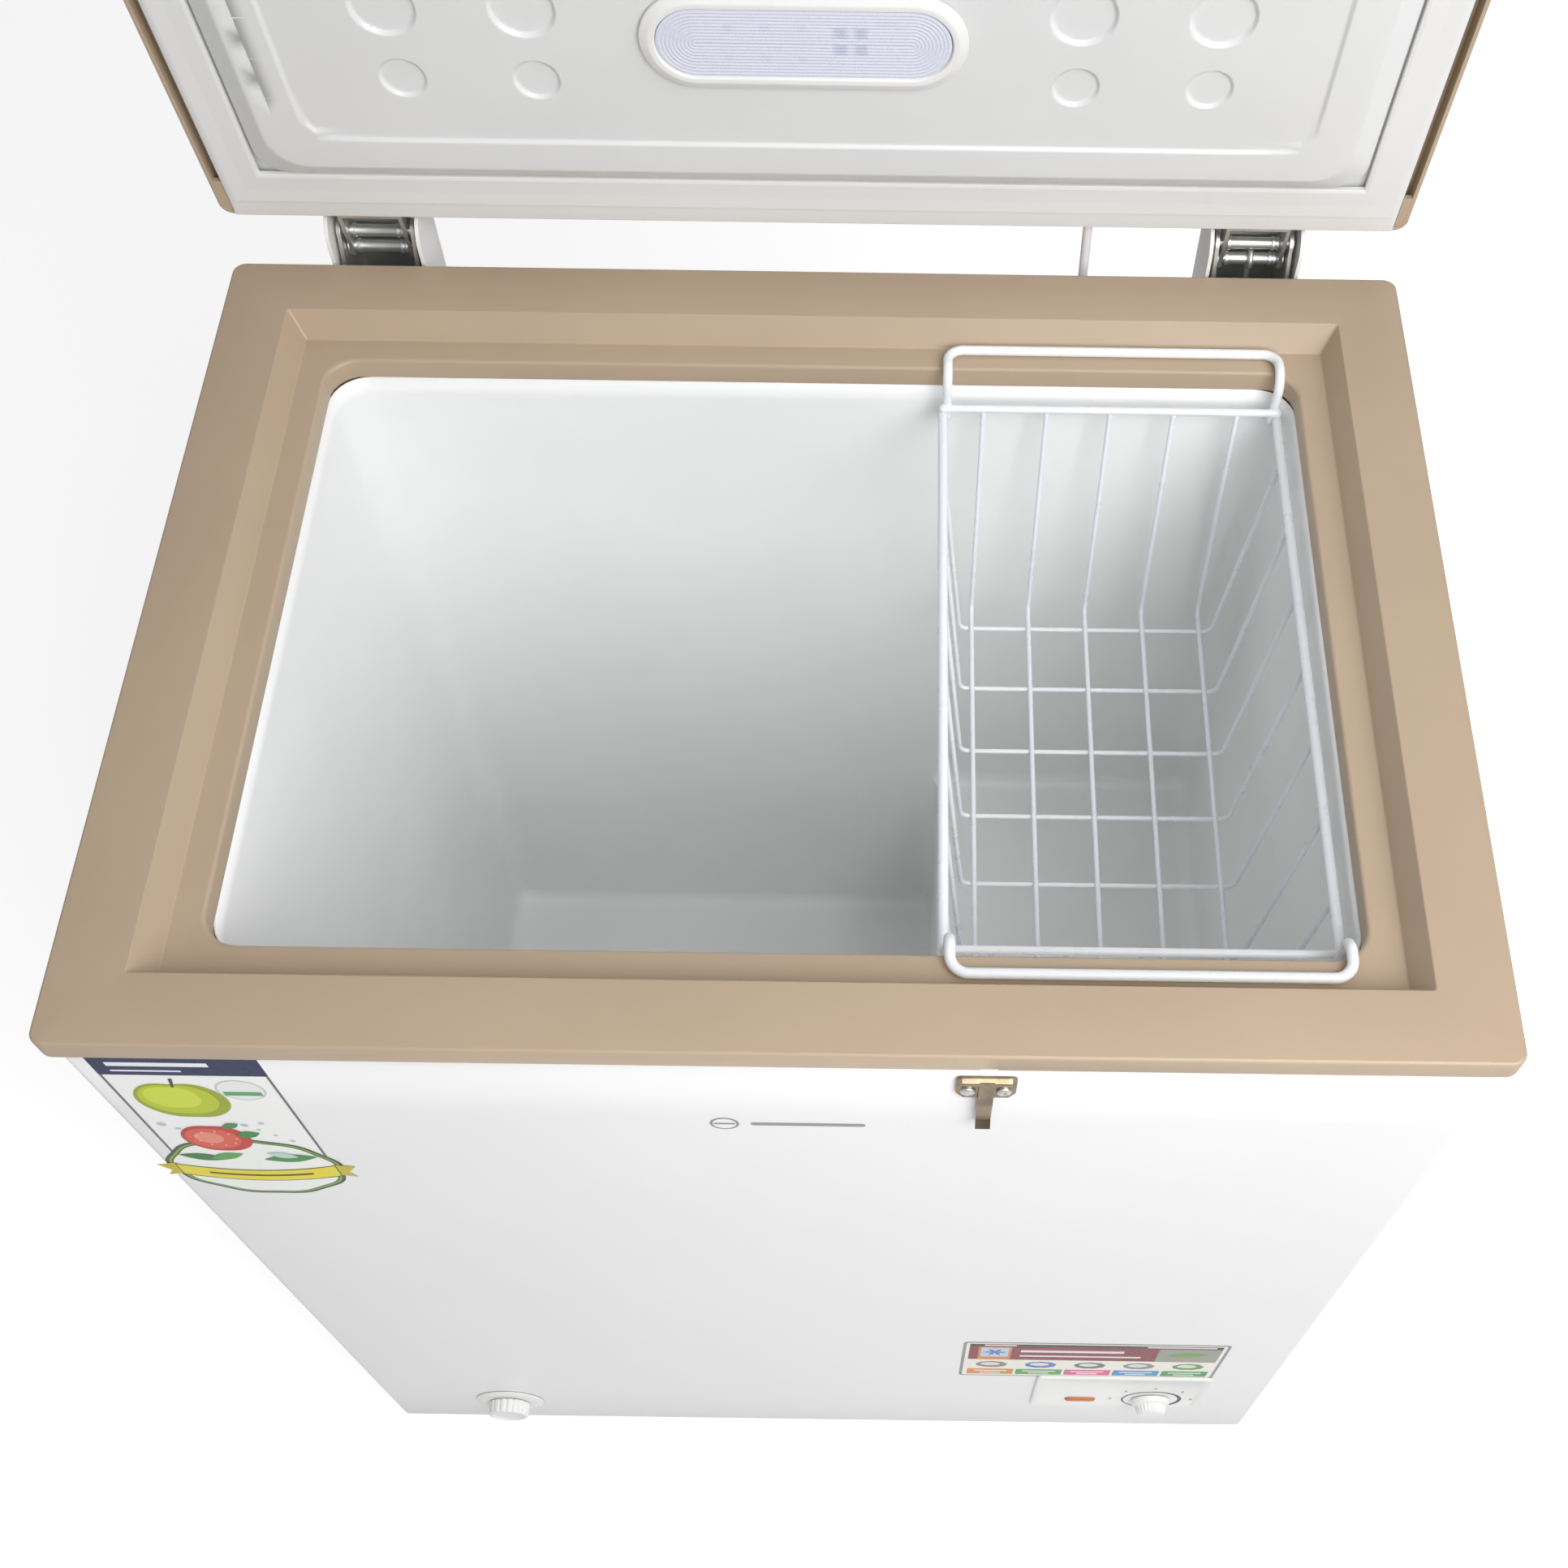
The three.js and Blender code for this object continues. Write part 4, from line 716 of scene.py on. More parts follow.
def cap_shape(centre, radius, front, back):
    """A screw cap: ribs raised round its edge by a power of the cosine, and a dished face."""
    depth = back - front
    profile = eased([(0, depth - 1.6), (radius - 5, depth - 1.4), (radius - 4, depth), (radius - 0.8,
        depth - 0.4), (radius, 0.6),
                     (radius - 0.4, 0), (0, 0)], [0, 1, 1, 1.4, 0.4, 0.3, 0], 4, closed=False)
    rib = lambda r, a, h: np.where(r > radius - 1.5, r - 1.1 * (1 - np.abs(np.cos(9 * a)) ** 0.6), r)
    points, faces = turned(profile, (0, 0, 0), axis=1, steps=216, radius_of=rib)
    return points * (1, -1, 1) + (centre[0], back, centre[2]), faces


# ---------------------------------------------------------------- basket


def basket_shape(weld):
    """Rods and wires as tubes along eased lines. Where a wire ends on a rod its radius swells by
    the weld, as a bell curve of the distance to the joint."""
    low, high = box_mm("basket")
    left, right, rim_z = 82.0, 293.0, RIM_Z - 42
    half, bottom = 193.0, rim_z - 168
    handle_z = RIM_Z - 17 + 3.3
    rod, rim_rod, thin = 3.0, 2.4, 1.6

    def swelling(path, radius):
        reach = np.minimum(np.linalg.norm(path - path[0], axis=1), np.linalg.norm(path - path[-1], axis=1))
        return radius + weld * np.exp(-((reach / 2.2) ** 2))

    def bent_rod(points, radii, radius, sides):
        path = finer(eased(points, radii, 9, closed=False), 6)
        return tube(path, swelling(path, radius), sides)

    parts = []
    for x in (left, right):
        parts.append(tube(finer(np.array([(x, -half - 3, rim_z), (x, half + 3, rim_z)], float), 12), rod,
            16))
    for end in (-1, 1):
        rod_z = rim_z + rod + rim_rod - 0.6
        parts.append(bent_rod([(left + 0.4, end * half, rod_z), (right - 0.4, end * half, rod_z)], [0, 0],
            rim_rod, 14))
        foot, inner = half + 2.4, (left + 2.4, right - 2.4)
        parts.append(bent_rod([
            (inner[0], end * foot, rim_z - 3), (inner[0], end * foot, handle_z + 2.5), (inner[0],
            end * 219, handle_z),
            (inner[1], end * 219, handle_z), (inner[1], end * foot, handle_z + 2.5), (inner[1], end * foot,
            rim_z - 3),
        ], [0, 10, 10, 10, 10, 0], rod, 16))
    for i in range(-2, 3):
        x, z = (left + right) / 2 + i * 40, bottom + thin
        parts.append(bent_rod([(x, -half, rim_z + 5), (x, 21 - half, z), (x, half - 21, z), (x, half,
            rim_z + 5)],
                              [0, 7, 7, 0], thin, 10))
    for i in range(-3, 4):
        y, z = i * 52, bottom - thin + 0.6
        parts.append(bent_rod([(left, y, rim_z), (left + 17, y, z), (right - 17, y, z), (right, y, rim_z)],
                              [0, 7, 7, 0], thin, 10))
    return joined(*parts)


# ---------------------------------------------------------------- lid


def frame_shape():
    """The lid frame's section carried round: a rounded outer edge, a lip over the top sheet, and a
    dark groove beside the white panel."""
    bottom = LID_SEAT + 0.8
    section = eased([(8, bottom + 0.3), (7.8, bottom + 9), (3.1, bottom + 9), (2.8, bottom), (0, bottom),
        (0, LID_TOP),
                     (14, LID_TOP), (14, LID_TOP - 2.2), (8, LID_TOP - 2.2)],
                    [0.2, 0.3, 0.3, 0.4, 1.0, 4.5, 1.2, 0.4, 0], 4)
    corner = np.clip(8 - section[:, 0], 1.5, 8)
    ring = skin(rectangles(section[:, 0], section[:, 1], corner), round_u=True, round_v=True)
    stops = []
    for side in (-1, 1):
        x0, x1 = sorted((side * (HALF_X - 2.6), side * (HALF_X - 7.9)))
        outline = [(x0, HALF_Y - 27), (x1, HALF_Y - 27), (x1, HALF_Y - 4), (x0, HALF_Y - 4)]
        stops.append(slab_edge(outline, bottom + 0.1, bottom + 3, 2))
    return joined(ring, *stops)


def top_sheet_shape(crown):
    """The lid's outer sheet, crowned as the product of two parabolas across its width and depth."""
    u, v = np.meshgrid(np.linspace(-1, 1, 61), np.linspace(-1, 1, 47), indexing="ij")
    height = LID_TOP - 3.4 + crown * (1 - u**2) * (1 - v**2)
    return skin(np.stack([u * (HALF_X - 8.4), v * (HALF_Y - 8.4), height], -1))


def gasket_shape():
    """The gasket's section carried round with mitred corners: an outer flank that reaches the edge
    at the hinge side, a wide soft face with a shallow fold, and a fin down its inner edge."""
    face = LID_SEAT
    section = eased([(9.2, face + 3.5), (8.4, face + 2.6), (8.4, face + 1.7), (10.6, face + 0.25), (12.4,
        face), (21, face + 0.35),
                     (31.2, face), (33.4, face + 0.7), (33.4, face + 3.5)],
                    [0, 0.3, 0.4, 0.6, 0.8, 5, 1.2, 0.8, 0], 4)
    reach = np.interp(section[:, 0], [8.4, 10.6], [-8.3, 0])
    rings = rectangles(section[:, 0], section[:, 1], 0.4, back=reach, arc=2)
    rings[..., 2] -= 1.5 * (rings[..., 1] > HALF_Y - 8)
    return skin(rings, round_u=True, round_v=True)


DIMPLES = [(x, y, radius, depth) for x in (-226, -151, 151, 226) for y, radius, depth in ((162, 17.5, 2.4),
    (115, 12.5, 2.0))]


def inner_panel_shape():
    """The lid's vacuum-formed inner panel. Its edge is a section carried round with rounded corners:
    a slope from the gasket's slit up to a flat border. Inside that the height is a field: it falls
    by a smooth step across a rounded rectangle and again inside each round dimple."""
    flange = LID_SEAT + 3.9
    border = eased([(20, flange + 1.4), (34.6, flange + 1.4), (35.6, flange - 3.2), (49.5, PLUG_FACE), (60,
        PLUG_FACE)],
                   [0, 0.4, 2.2, 5, 0], 5, closed=False)
    near = np.array([-1, 1])
    xs = [np.linspace(-1, 1, 42) * (HALF_X - 60)]
    ys = [np.linspace(-1, 1, 32) * (HALF_Y - 60)]
    for x, y, radius, _ in DIMPLES:
        fine = np.concatenate([side * (radius + np.linspace(-1.6, 1.6, 9))
            for side in near] + [np.linspace(-radius, radius, 25)])
        xs.append(x + fine)
        ys.append(HALF_Y - y + fine)
    for values, limit in ((xs, HALF_X - 60), (ys, HALF_Y - 60)):
        values.append(np.concatenate([side * (limit - np.linspace(8, 22, 29)) for side in near]))
    xs, ys = (np.unique(np.round(np.concatenate(v), 1)) for v in (xs, ys))
    x, y = np.meshgrid(xs, ys, indexing="ij")
    corner = 22.0
    off = np.stack([np.abs(x) - (HALF_X - 75 - corner), np.abs(y) - (HALF_Y - 71 - corner)])
    inside = corner - np.hypot(*np.maximum(off, 0)) - np.minimum(np.max(off, 0), 0)
    height = PLUG_FACE + 1.8 * smooth((inside + 1.4) / 2.8)
    for cx, cy, radius, depth in DIMPLES:
        away = np.hypot(x - cx, y - (HALF_Y - cy))
        height += depth * smooth((radius + 1.1 - away) / 2.2)
    field = skin(np.stack([x, y, height], -1))
    x_stops, y_stops = xs[1:-1] / xs[-1], ys[1:-1] / ys[-1]
    corners = np.interp(border[:, 0], [20, 34, 36, 50, 60], [4, 17, 18, 22, 0])
    rings = rectangles(border[:, 0], border[:, 1], corners, x_stops=x_stops, y_stops=y_stops)
    return joined(skin(rings, round_v=True), (field[0], [face[::-1] for face in field[1]]))


def stadium_rings(offsets, heights, centre, half_length, radius, straight=57, arc=40):
    """Rings round a stadium, each drawn in from its edge by an offset and set at a height."""
    along = np.linspace(-1, 1, straight) * (half_length - radius)
    turn = np.linspace(-math.pi / 2, math.pi / 2, arc)[1:-1]
    rows = []
    for offset, height in zip(offsets, heights):
        r = radius - offset
        xs = np.concatenate([along, half_length - radius + r * np.cos(turn), along[::-1],
            radius - half_length - r * np.cos(turn)])
        ys = np.concatenate([0 * along - r, r * np.sin(turn), 0 * along + r, -r * np.sin(turn)])
        rows.append(np.stack([centre[0] + xs, centre[1] + ys, 0 * xs + height], -1))
    return np.stack(rows)


LAMP_CENTRE = (0.0, HALF_Y - 145)
# Across and along places of the lamps behind the lens, their half sizes and how strongly they show.
LAMPS = [(x, y, 3.2, 3.4, 0.55) for x in (20.0, 31.0) for y in (-8.0, 3.0)]
LAMPS += [(x, y, 2.6, 2.0, 0.2) for x in (-41.0, -21.0, -1.0) for y in (-10.5, 9.5)]
LAMPS += [(x, -14.5, 4.5, 2.5, 0.1) for x in (-62.0, 46.0)]


def lens_shape(rib_pitch, rib_depth):
    """The lens: rings from its edge to its middle line, their height a sine wave of the offset,
    closed by an edge and a flat back."""
    half_length, radius = 80.7, 21.7
    offsets = np.linspace(0.4, radius - 0.02, int(radius / rib_pitch * 5))
    heights = PLUG_FACE - 1.9 + rib_depth * np.sin(offsets * 2 * math.pi / rib_pitch)
    front = stadium_rings(offsets, heights, LAMP_CENTRE, half_length, radius)
    edge = stadium_rings([0.4, 0, 0], [PLUG_FACE + 1, PLUG_FACE + 1, PLUG_FACE - 1.6], LAMP_CENTRE,
        half_length, radius)
    rings = np.concatenate([edge[:1], edge[1:], front])
    return joined(skin(rings, round_v=True), polygon(edge[0]))


def lens_shades(points):
    """How much of the lamps behind it each point of the lens shows: soft-edged boxes, added up."""
    shade = np.zeros(len(points))
    for x, y, half_x, half_y, strength in LAMPS:
        off = np.maximum(np.abs(points[:, 0] - x) / half_x,
            np.abs(points[:, 1] - LAMP_CENTRE[1] - y) / half_y)
        shade += strength * smooth((1.35 - off) / 0.6)
    return np.clip(shade, 0, 1)


def bezel_shape():
    """A convex oval ring: rings drawn in from the outer edge, bulging up and dropping to the lens."""
    section = eased([(0, PLUG_FACE - 0.1), (0.3, PLUG_FACE - 1.0), (5, PLUG_FACE - 3.0), (8.2,
        PLUG_FACE - 2.9), (9.3, PLUG_FACE - 0.2)],
                    [0, 0.5, 3.5, 0.9, 0], 5, closed=False)
    section = np.concatenate([section, [(9.3, PLUG_FACE + 0.6), (0, PLUG_FACE + 0.6)]])
    rings = stadium_rings(section[:, 0], section[:, 1], LAMP_CENTRE, 90, 31)
    return skin(rings, round_u=True, round_v=True)


def handle_shape(centre_x, half, top, bottom, back, front):
    """A grip: its plan is three sides with eased corners, and its depth grows down from nothing at
    the top by a quarter ellipse, stays, and is drawn in a little at the bottom edge."""
    depth = back - front
    plan = eased([(-1, 0), (-1, 1), (1, 1), (1, 0)], [0, 0.16, 0.16, 0], 8, closed=False)
    plan = finer(plan, 0.15)
    rise = np.concatenate([
        [(math.sin(a), top - 22 * (1 - math.cos(a))) for a in np.radians(np.linspace(0, 90, 14))],
        [(1, z) for z in np.linspace(top - 30, bottom + 9, 8)],
        [(1 - 0.1 * (1 - math.cos(a)), bottom + 6 * (1 - math.sin(a)))
        for a in np.radians(np.linspace(0, 90, 6))],
    ])
    x = centre_x + half * (1 - 0.05 * (1 - rise[:, :1])) * plan[None, :, 0]
    y = back - depth * rise[:, :1] * plan[None, :, 1]
    z = rise[:, 1:] + 0 * x
    return skin(np.stack([x, y, z], -1))


# ---------------------------------------------------------------- hinges


CHEEK, EAR, COVER = 24.5, 20.0, 29.5


def arc_points(centre, radius, start, end, count=10):
    angle = np.radians(np.linspace(start, end, count))
    return np.stack([centre[0] + radius * np.cos(angle), centre[1] + radius * np.sin(angle)], -1)


def bracket_shape(x, guided):
    """A hat-shaped pressing: two cheeks with round tops, a web behind them, two screwed flanges,
    and on one side a slotted plate that guides the counterbalance rod."""
    back, web = PANEL_BACK + 0.3, PANEL_BACK + 49.5
    bottom, under = PIVOT_Z - 211, LIP_Z - 1.3
    cheek = np.concatenate([
        [(back, bottom), (web, bottom), (web, PIVOT_Z - 11)], arc_points((PIVOT_Y, PIVOT_Z), 9, 27, 180,
        14),
        [(HALF_Y + 3, LIP_Z + 2), (HALF_Y + 3, under), (back, under)]])
    parts = []
    for side in (-1, 1):
        parts.append(slab_edge(cheek, *sorted((x + side * CHEEK, x + side * (CHEEK - HINGE_SHEET))), 0))
        flange = round_box(*sorted((x + side * (CHEEK - 1), x + side * (CHEEK + 15))), bottom, under, 3)
        parts.append(slab_edge(flange, back, back + HINGE_SHEET, 1))
    parts.append(slab_edge([(x - CHEEK, bottom), (x + CHEEK, bottom), (x + CHEEK, PIVOT_Z - 11),
        (x - CHEEK, PIVOT_Z - 11)],
                           web - HINGE_SHEET, web, 1))
    if guided:
        z = PIVOT_Z - 111
        for y0, y1 in ((back + 6, PIVOT_Y - 6), (PIVOT_Y + 6, web - 1)):
            plate = [(x - CHEEK + 1, y0), (x + CHEEK - 1, y0), (x + CHEEK - 1, y1), (x - CHEEK + 1, y1)]
            parts.append(slab_edge(plate, z, z + HINGE_SHEET, 2))
        for side in (-1, 1):
            x0, x1 = sorted((x + side * 2.4, x + side * (CHEEK - 1)))
            parts.append(slab_edge([(x0, PIVOT_Y - 6.2), (x1, PIVOT_Y - 6.2), (x1, PIVOT_Y + 6.2), (x0,
                PIVOT_Y + 6.2)], z, z + HINGE_SHEET, 2))
    return joined(*parts)


def cover_shape(x):
    """A moulded cover over the bracket: at each height its plan runs from the front edge of one
    side, round two eased corners at the back, to the other side. The front edge leans back over
    the collar and rounds over about the hinge pin."""
    front, back = PANEL_BACK + 3.1, PANEL_BACK + 53.5
    bottom, nose = PIVOT_Z - 221, 17.5
    rim = np.concatenate([[(front, bottom), (front, LIP_Z - 1.3), (HALF_Y + 3, LIP_Z + 2)],
                          arc_points((PIVOT_Y, PIVOT_Z), nose, 180, 90, 12)])
    rim = finer(rim, 25)
    u = np.linspace(0, 1, 12)[:, None]
    rows = []
    for y, z in rim:
        plan = eased([(-COVER, y), (-COVER, back), (COVER, back), (COVER, y)], [0, 5, 5, 0], 6,
            closed=False)
        left, right = plan[0] + (plan[1] - plan[0]) * u, plan[-2] + (plan[-1] - plan[-2]) * u
        plan = np.concatenate([left[:-1], plan[1:-1], right[1:]])
        rows.append(np.stack([x + plan[:, 0], plan[:, 1], z + 0 * plan[:, 0]], -1))
    return skin(np.stack(rows))


def pin_shape(centre, face):
    """A shouldered pin turned about X: round heads outside the faces that it holds, a thick sleeve
    between them, and a ring groove near one end of the sleeve."""
    sleeve = EAR - 3.8
    profile = eased([
        (0, -face - 1.8), (3.6, -face - 1.7), (5.5, -face - 1.2), (5.5, -face - 0.3), (3, -face - 0.3), (3,
        -sleeve), (4.4, -sleeve),
        (4.4, -sleeve + 2.4), (3.6, -sleeve + 2.6), (3.6, sleeve - 4.6), (4.2, sleeve - 4.4), (4.2,
        sleeve - 2.6), (3.4, sleeve - 2.4),
        (3.4, sleeve - 1.6), (3.9, sleeve - 1.4), (3.9, sleeve), (3, sleeve), (3, face + 0.3), (5.5,
        face + 0.3), (5.5, face + 1.2),
        (3.6, face + 1.7), (0, face + 1.8)], 0.18, 2, closed=False)
    return turned(profile, centre, axis=0, steps=36)


def leaf_shape(x, spring_y, spring_z):
    """The lid's hinge leaf: a plate on the lid's edge and two ears, each the outline that wraps the
    two pins' bosses and the plate."""
    web = HALF_Y + 0.3
    outline = np.concatenate([
        [(web, PIVOT_Z + 9)], [(web, PIVOT_Z - 7.5)],
        arc_points((PIVOT_Y, PIVOT_Z), 7.4, -95, -60, 4), arc_points((spring_y, spring_z), 6, -60, 85, 10),
        arc_points((PIVOT_Y, PIVOT_Z), 7.4, 85, 110, 4)])
    parts = [slab_edge([(x - EAR, PIVOT_Z - 7.5), (x + EAR, PIVOT_Z - 7.5), (x + EAR, PIVOT_Z + 32),
        (x - EAR, PIVOT_Z + 32)],
                       web, web + HINGE_SHEET, 1)]
    for start in (x - EAR, x + EAR - HINGE_SHEET):
        parts.append(slab_edge(outline, start, start + HINGE_SHEET, 0))
    return joined(*parts)


# ---------------------------------------------------------------- labels


def leaf_outline(x, z, length, width, turn, steps=12):
    """A leaf: two arcs of a sine between its ends, turned in the plane."""
    t = np.linspace(0, 1, steps)
    outline = np.concatenate([np.stack([t * length, width * np.sin(math.pi * t)], -1),
                              np.stack([t * length, -width * np.sin(math.pi * t)], -1)[::-1][1:-1]])
    c, s = math.cos(turn), math.sin(turn)
    return outline @ np.array([[c, s], [-s, c]]) + (x, z)


def fruit(x, z, radius, dip):
    """A fruit's outline: a circle whose radius dips at the top and, less, at the bottom."""
    a = np.linspace(0, 2 * math.pi, 48, endpoint=False)
    r = radius * (1 - dip * np.exp(-(((a - math.pi / 2) / 0.4) ** 2)) - 0.4 * dip *
        np.exp(-(((a - 1.5 * math.pi) / 0.3) ** 2)))
    return np.stack([x + r * np.cos(a), z + r * np.sin(a)], -1)


def tilted(points, pivot, angle):
    c, s = math.cos(angle), math.sin(angle)
    return (np.asarray(points, float) - pivot) @ np.array([[c, s], [-s, c]]) + pivot


def badge_outline(x, z, half_x, half_z, wave):
    """An oval badge: an ellipse whose radius is rippled by a small sine."""
    a = np.linspace(0, 2 * math.pi, 120, endpoint=False)
    r = 1 + wave * np.sin(9 * a)
    return np.stack([x + half_x * r * np.cos(a), z + half_z * r * np.sin(a)], -1)


def care_label_shapes():
    """The label at the top left: a header, thin borders, an apple, a cut fruit, drops, and a badge
    with leaves and an arched ribbon that reaches past the label's edge."""
    x0, x1, z1 = -350.0, -263.0, 779.0
    middle = -308.0
    shapes = [(0, round_box(x0, x1, 628, z1, 1), "#F6F6F5"), (1, round_box(x0, x1, 756, z1, 0.8),
        "#16214F")]
    shapes += [(1, round_box(x, x + 1.6, 636, 756, 0.3), "#6D7076") for x in (x0, x1 - 1.6)]
    shapes += [(2, round_box(x0 + 8, x0 + 8 + width, z, z + height, 0.4), "#EFF1F7")
               for z, width, height in ((767, 52, 4.6), (760.5, 36, 1.8))]
    shapes += [(1, badge_outline(-283, 738, 13, 13, 0), "#C9CCC8"), (2,
        badge_outline(-283, 738, 11.8, 11.8, 0), "#EDEEEC"),
               (3, [(-293, 731), (-273, 731), (-273, 736), (-293, 736)], "#4FA562")]
    for scale, dx, dz, ink in ((1, 0, 0, "#9AA81A"), (0.84, -1.5, 1.5, "#B9C81F"), (0.6, -4, 4, "#CFDC3A"),
            (0.28, -8, 8, "#E8EE8C")):
        shapes.append((2, fruit(-318 + dx, 724 + dz, 24.5 * scale, 0.16 * scale), ink))
    shapes = [(level + i % 4 if ink in ("#B9C81F", "#CFDC3A", "#E8EE8C") else level, outline, ink)
              for i, (level, outline, ink) in enumerate(shapes)]
    shapes += [(6, [(-318, 741), (-316.6, 741), (-314, 752), (-316, 752)], "#4B3A22")]
    for x, z, r in ((-341, 690, 2.6), (-334, 684, 1.6), (-296, 690, 2.2), (-290, 684, 1.4), (-286, 693,
            1.8), (-283, 676, 1.2), (-276, 668, 1.6)):
        shapes.append((2, disc(x, z, r, 14), "#B9C8CC"))
    shapes += [(2, badge_outline(middle, 627, 50, 43, 0.018), "#4A4F48"), (3,
        badge_outline(middle, 627, 48, 41, 0.018), "#7DB043"),
               (4, badge_outline(middle, 627, 46.4, 39.4, 0.018), "#2F4A2C"), (5,
               badge_outline(middle, 627, 45.6, 38.6, 0.018), "#F4F6F2")]
    shapes += [(6, fruit(-317, 671, 19, 0.1), "#C3352B"), (7, fruit(-319, 671, 15, 0.05), "#DC5B47"), (8,
        fruit(-321, 672, 8, 0), "#E98D78")]
    shapes += [(9, disc(-317 + 11 * math.cos(a), 671 + 10 * math.sin(a), 0.7, 8), "#F4D9A0")
        for a in np.linspace(0, 5.6, 9)]
    shapes += [(10 + i, leaf_outline(x, z, length, width, turn), ink) for i, (x, z, length, width, turn,
        ink) in enumerate((
        (-305, 675, 15, 4.2, 0.3, "#2E8B3A"), (-347, 646, 28, 5, -0.22, "#2C7D3B"), (-300, 640, 32, 5.5,
        0.16, "#3B8F3D"),
        (-330, 641, 22, 4.4, 0.35, "#57A548"), (-296, 650, 18, 4, -0.3, "#BFD6D4"), (-309, 687, 12, 3, 0.5,
        "#3B8F3D")))]
    bend = np.linspace(-1, 1, 25)
    lower, upper = 606 + 9 * bend**2, 623 + 9 * bend**2
    for level, spread, drop, ink in ((8, 1.0, 0, "#57602A"), (9, 0.985, 1.1, "#E9D92B")):
        xs = middle + 46 * spread * bend
        shapes.append((level, np.concatenate([np.stack([xs, lower + drop], -1),
            np.stack([xs, upper - drop], -1)[::-1]]), ink))
    for side in (-1, 1):
        tail = [(44, 617), (55, 614), (51, 621), (57, 630), (44, 633)]
        shapes += [(7, [(middle + side * x, z) for x, z in tail], "#C9B820")]
    xs = middle + 30 * bend
    shapes.append((10, np.concatenate([np.stack([xs, 613.4 + 3.8 * bend**2], -1),
        np.stack([xs, 616 + 3.8 * bend**2], -1)[::-1]]), "#4E4A18"))
    return shapes


def feature_label_shapes():
    """The label at the bottom right, stuck on a little askew: a grey border, a dark bar, a deep red
    band between two small pictures, and five cells, each a plain mark over a coloured strip."""
    x0, x1, z0, z1 = 112.0, 312.0, 189.0, 284.0
    shapes = [(0, round_box(x0, x1, z0, z1, 4), "#8E9193"), (1,
        round_box(x0 + 2.4, x1 - 2.4, z0 + 2.4, z1 - 2.4, 3), "#F2EFE4"),
              (2, round_box(x0 + 5, x1 - 5, z1 - 11, z1 - 5, 1), "#3A3436"), (2,
              round_box(x0 + 5, x1 - 5, z1 - 47, z1 - 11, 1), "#86303A"),
              (3, round_box(x0 + 12, x0 + 37, z1 - 46, z1 - 12, 2), "#D9872F"), (4,
              round_box(x0 + 14, x0 + 35, z1 - 39, z1 - 14, 1), "#BFD2E8"),
              (3, round_box(x1 - 52, x1 - 5, z1 - 46, z1 - 12, 1), "#9A9C93"), (4,
              leaf_outline(x1 - 46, z1 - 30, 34, 6, 0.12), "#6FA24A")]
    shapes += [(5, leaf_outline(x0 + 24.5, z1 - 26.5, 9, 1.3, turn), "#3A62A8")
        for turn in np.arange(6) * math.pi / 3]
    shapes += [(3, round_box(x, x + width, z, z + height, 0.4), "#EFE3E2") for x, z, width, height in (
        (x0 + 16, z1 - 9.6, 24, 3.2), (x1 - 62, z1 - 9.6, 52, 3.2), (x0 + 44, z1 - 26, 78, 6), (x0 + 44,
        z1 - 38, 92, 4))]
    cell = (x1 - x0 - 10) / 5
    for i, (ink, mark) in enumerate([("#E08A45", "#8C8374"), ("#57A548", "#3C78C0"), ("#DD5C9A", "#6A6E74"),
                                     ("#3D8FD0", "#8A8C90"), ("#3A9A55", "#5A9C42")]):
        left = x0 + 5 + i * cell
        shapes.append((2, round_box(left + 1, left + cell - 1, z0 + 6, z0 + 21, 1.2), ink))
        shapes.append((2, badge_outline(left + cell / 2, z0 + 34, 12, 8.5, 0.03), mark))
        shapes.append((3, badge_outline(left + cell / 2 - 1, z0 + 35.5, 7.5, 4.4, 0.03), "#E4E4DE"))
        shapes += [(3, round_box(left + 6 + shorter, left + cell - 6 - shorter, z, z + 2.6, 0.3), "#F4F1E8")
                   for z, shorter in ((z0 + 14.5, 0), (z0 + 9, 5))]
    pivot = ((x0 + x1) / 2, (z0 + z1) / 2)
    return [(level, tilted(outline, pivot, -0.006), ink) for level, outline, ink in shapes]


def mark_shapes():
    """A plain mark in the middle of the front: a thin ring with a bar through it and a long bar."""
    ring = [(0, disc(-34, 702, 8, 40), "#8D9298"), (1, disc(-34, 702, 6.4, 40), "#F1F1F1")]
    return ring + [(2, round_box(-40, -28, 700.9, 703.1, 1), "#8D9298"), (1,
        round_box(-20, 42, 700, 704, 2), "#8D9298")]


def dial_shapes(centre_x, centre_z, ring_radius):
    """The thermostat's dial: a pale disc under a scale that swells as it goes round."""
    shapes = [(0, disc(centre_x, centre_z, ring_radius + 1.5, 64), "#F3F3F2")]
    sweep = np.linspace(-math.pi * 0.82, math.pi * 0.82, 60)
    inner, outer = ring_radius - 3.8, ring_radius - 2.6 + 2.4 * (sweep / math.pi + 0.82) / 1.64
    curve = lambda r: np.stack([centre_x + r * np.sin(sweep), centre_z + r * np.cos(sweep)], -1)
    shapes.append((1, np.concatenate([curve(outer), curve(inner + 0 * sweep)[::-1]]), "#3A4048"))
    return shapes


def printed(name, shapes, front, body):
    """A label: its polygons stand a twentieth of a millimetre apart, and carry their own inks."""
    parts = []
    for level, outline, _ in shapes:
        outline = np.asarray(outline, float)
        following = np.roll(outline, -1, 0)
        backward = (outline[:, 0] * following[:, 1] - outline[:, 1] * following[:, 0]).sum() < 0
        parts.append(polygon(np.insert(outline, 1, front - 0.05 * (level + 1), axis=1), backward))
    made = piece(name, joined(*parts), body, "film", flat=True)
    ink_faces(made, [ink for _, _, ink in shapes])
    return made


def ink_faces(made, codes):
    inks = made.data.attributes.new("ink", "FLOAT_COLOR", "FACE")
    inks.data.foreach_set("color", np.array([linear(code) for code in codes], np.float32).ravel())


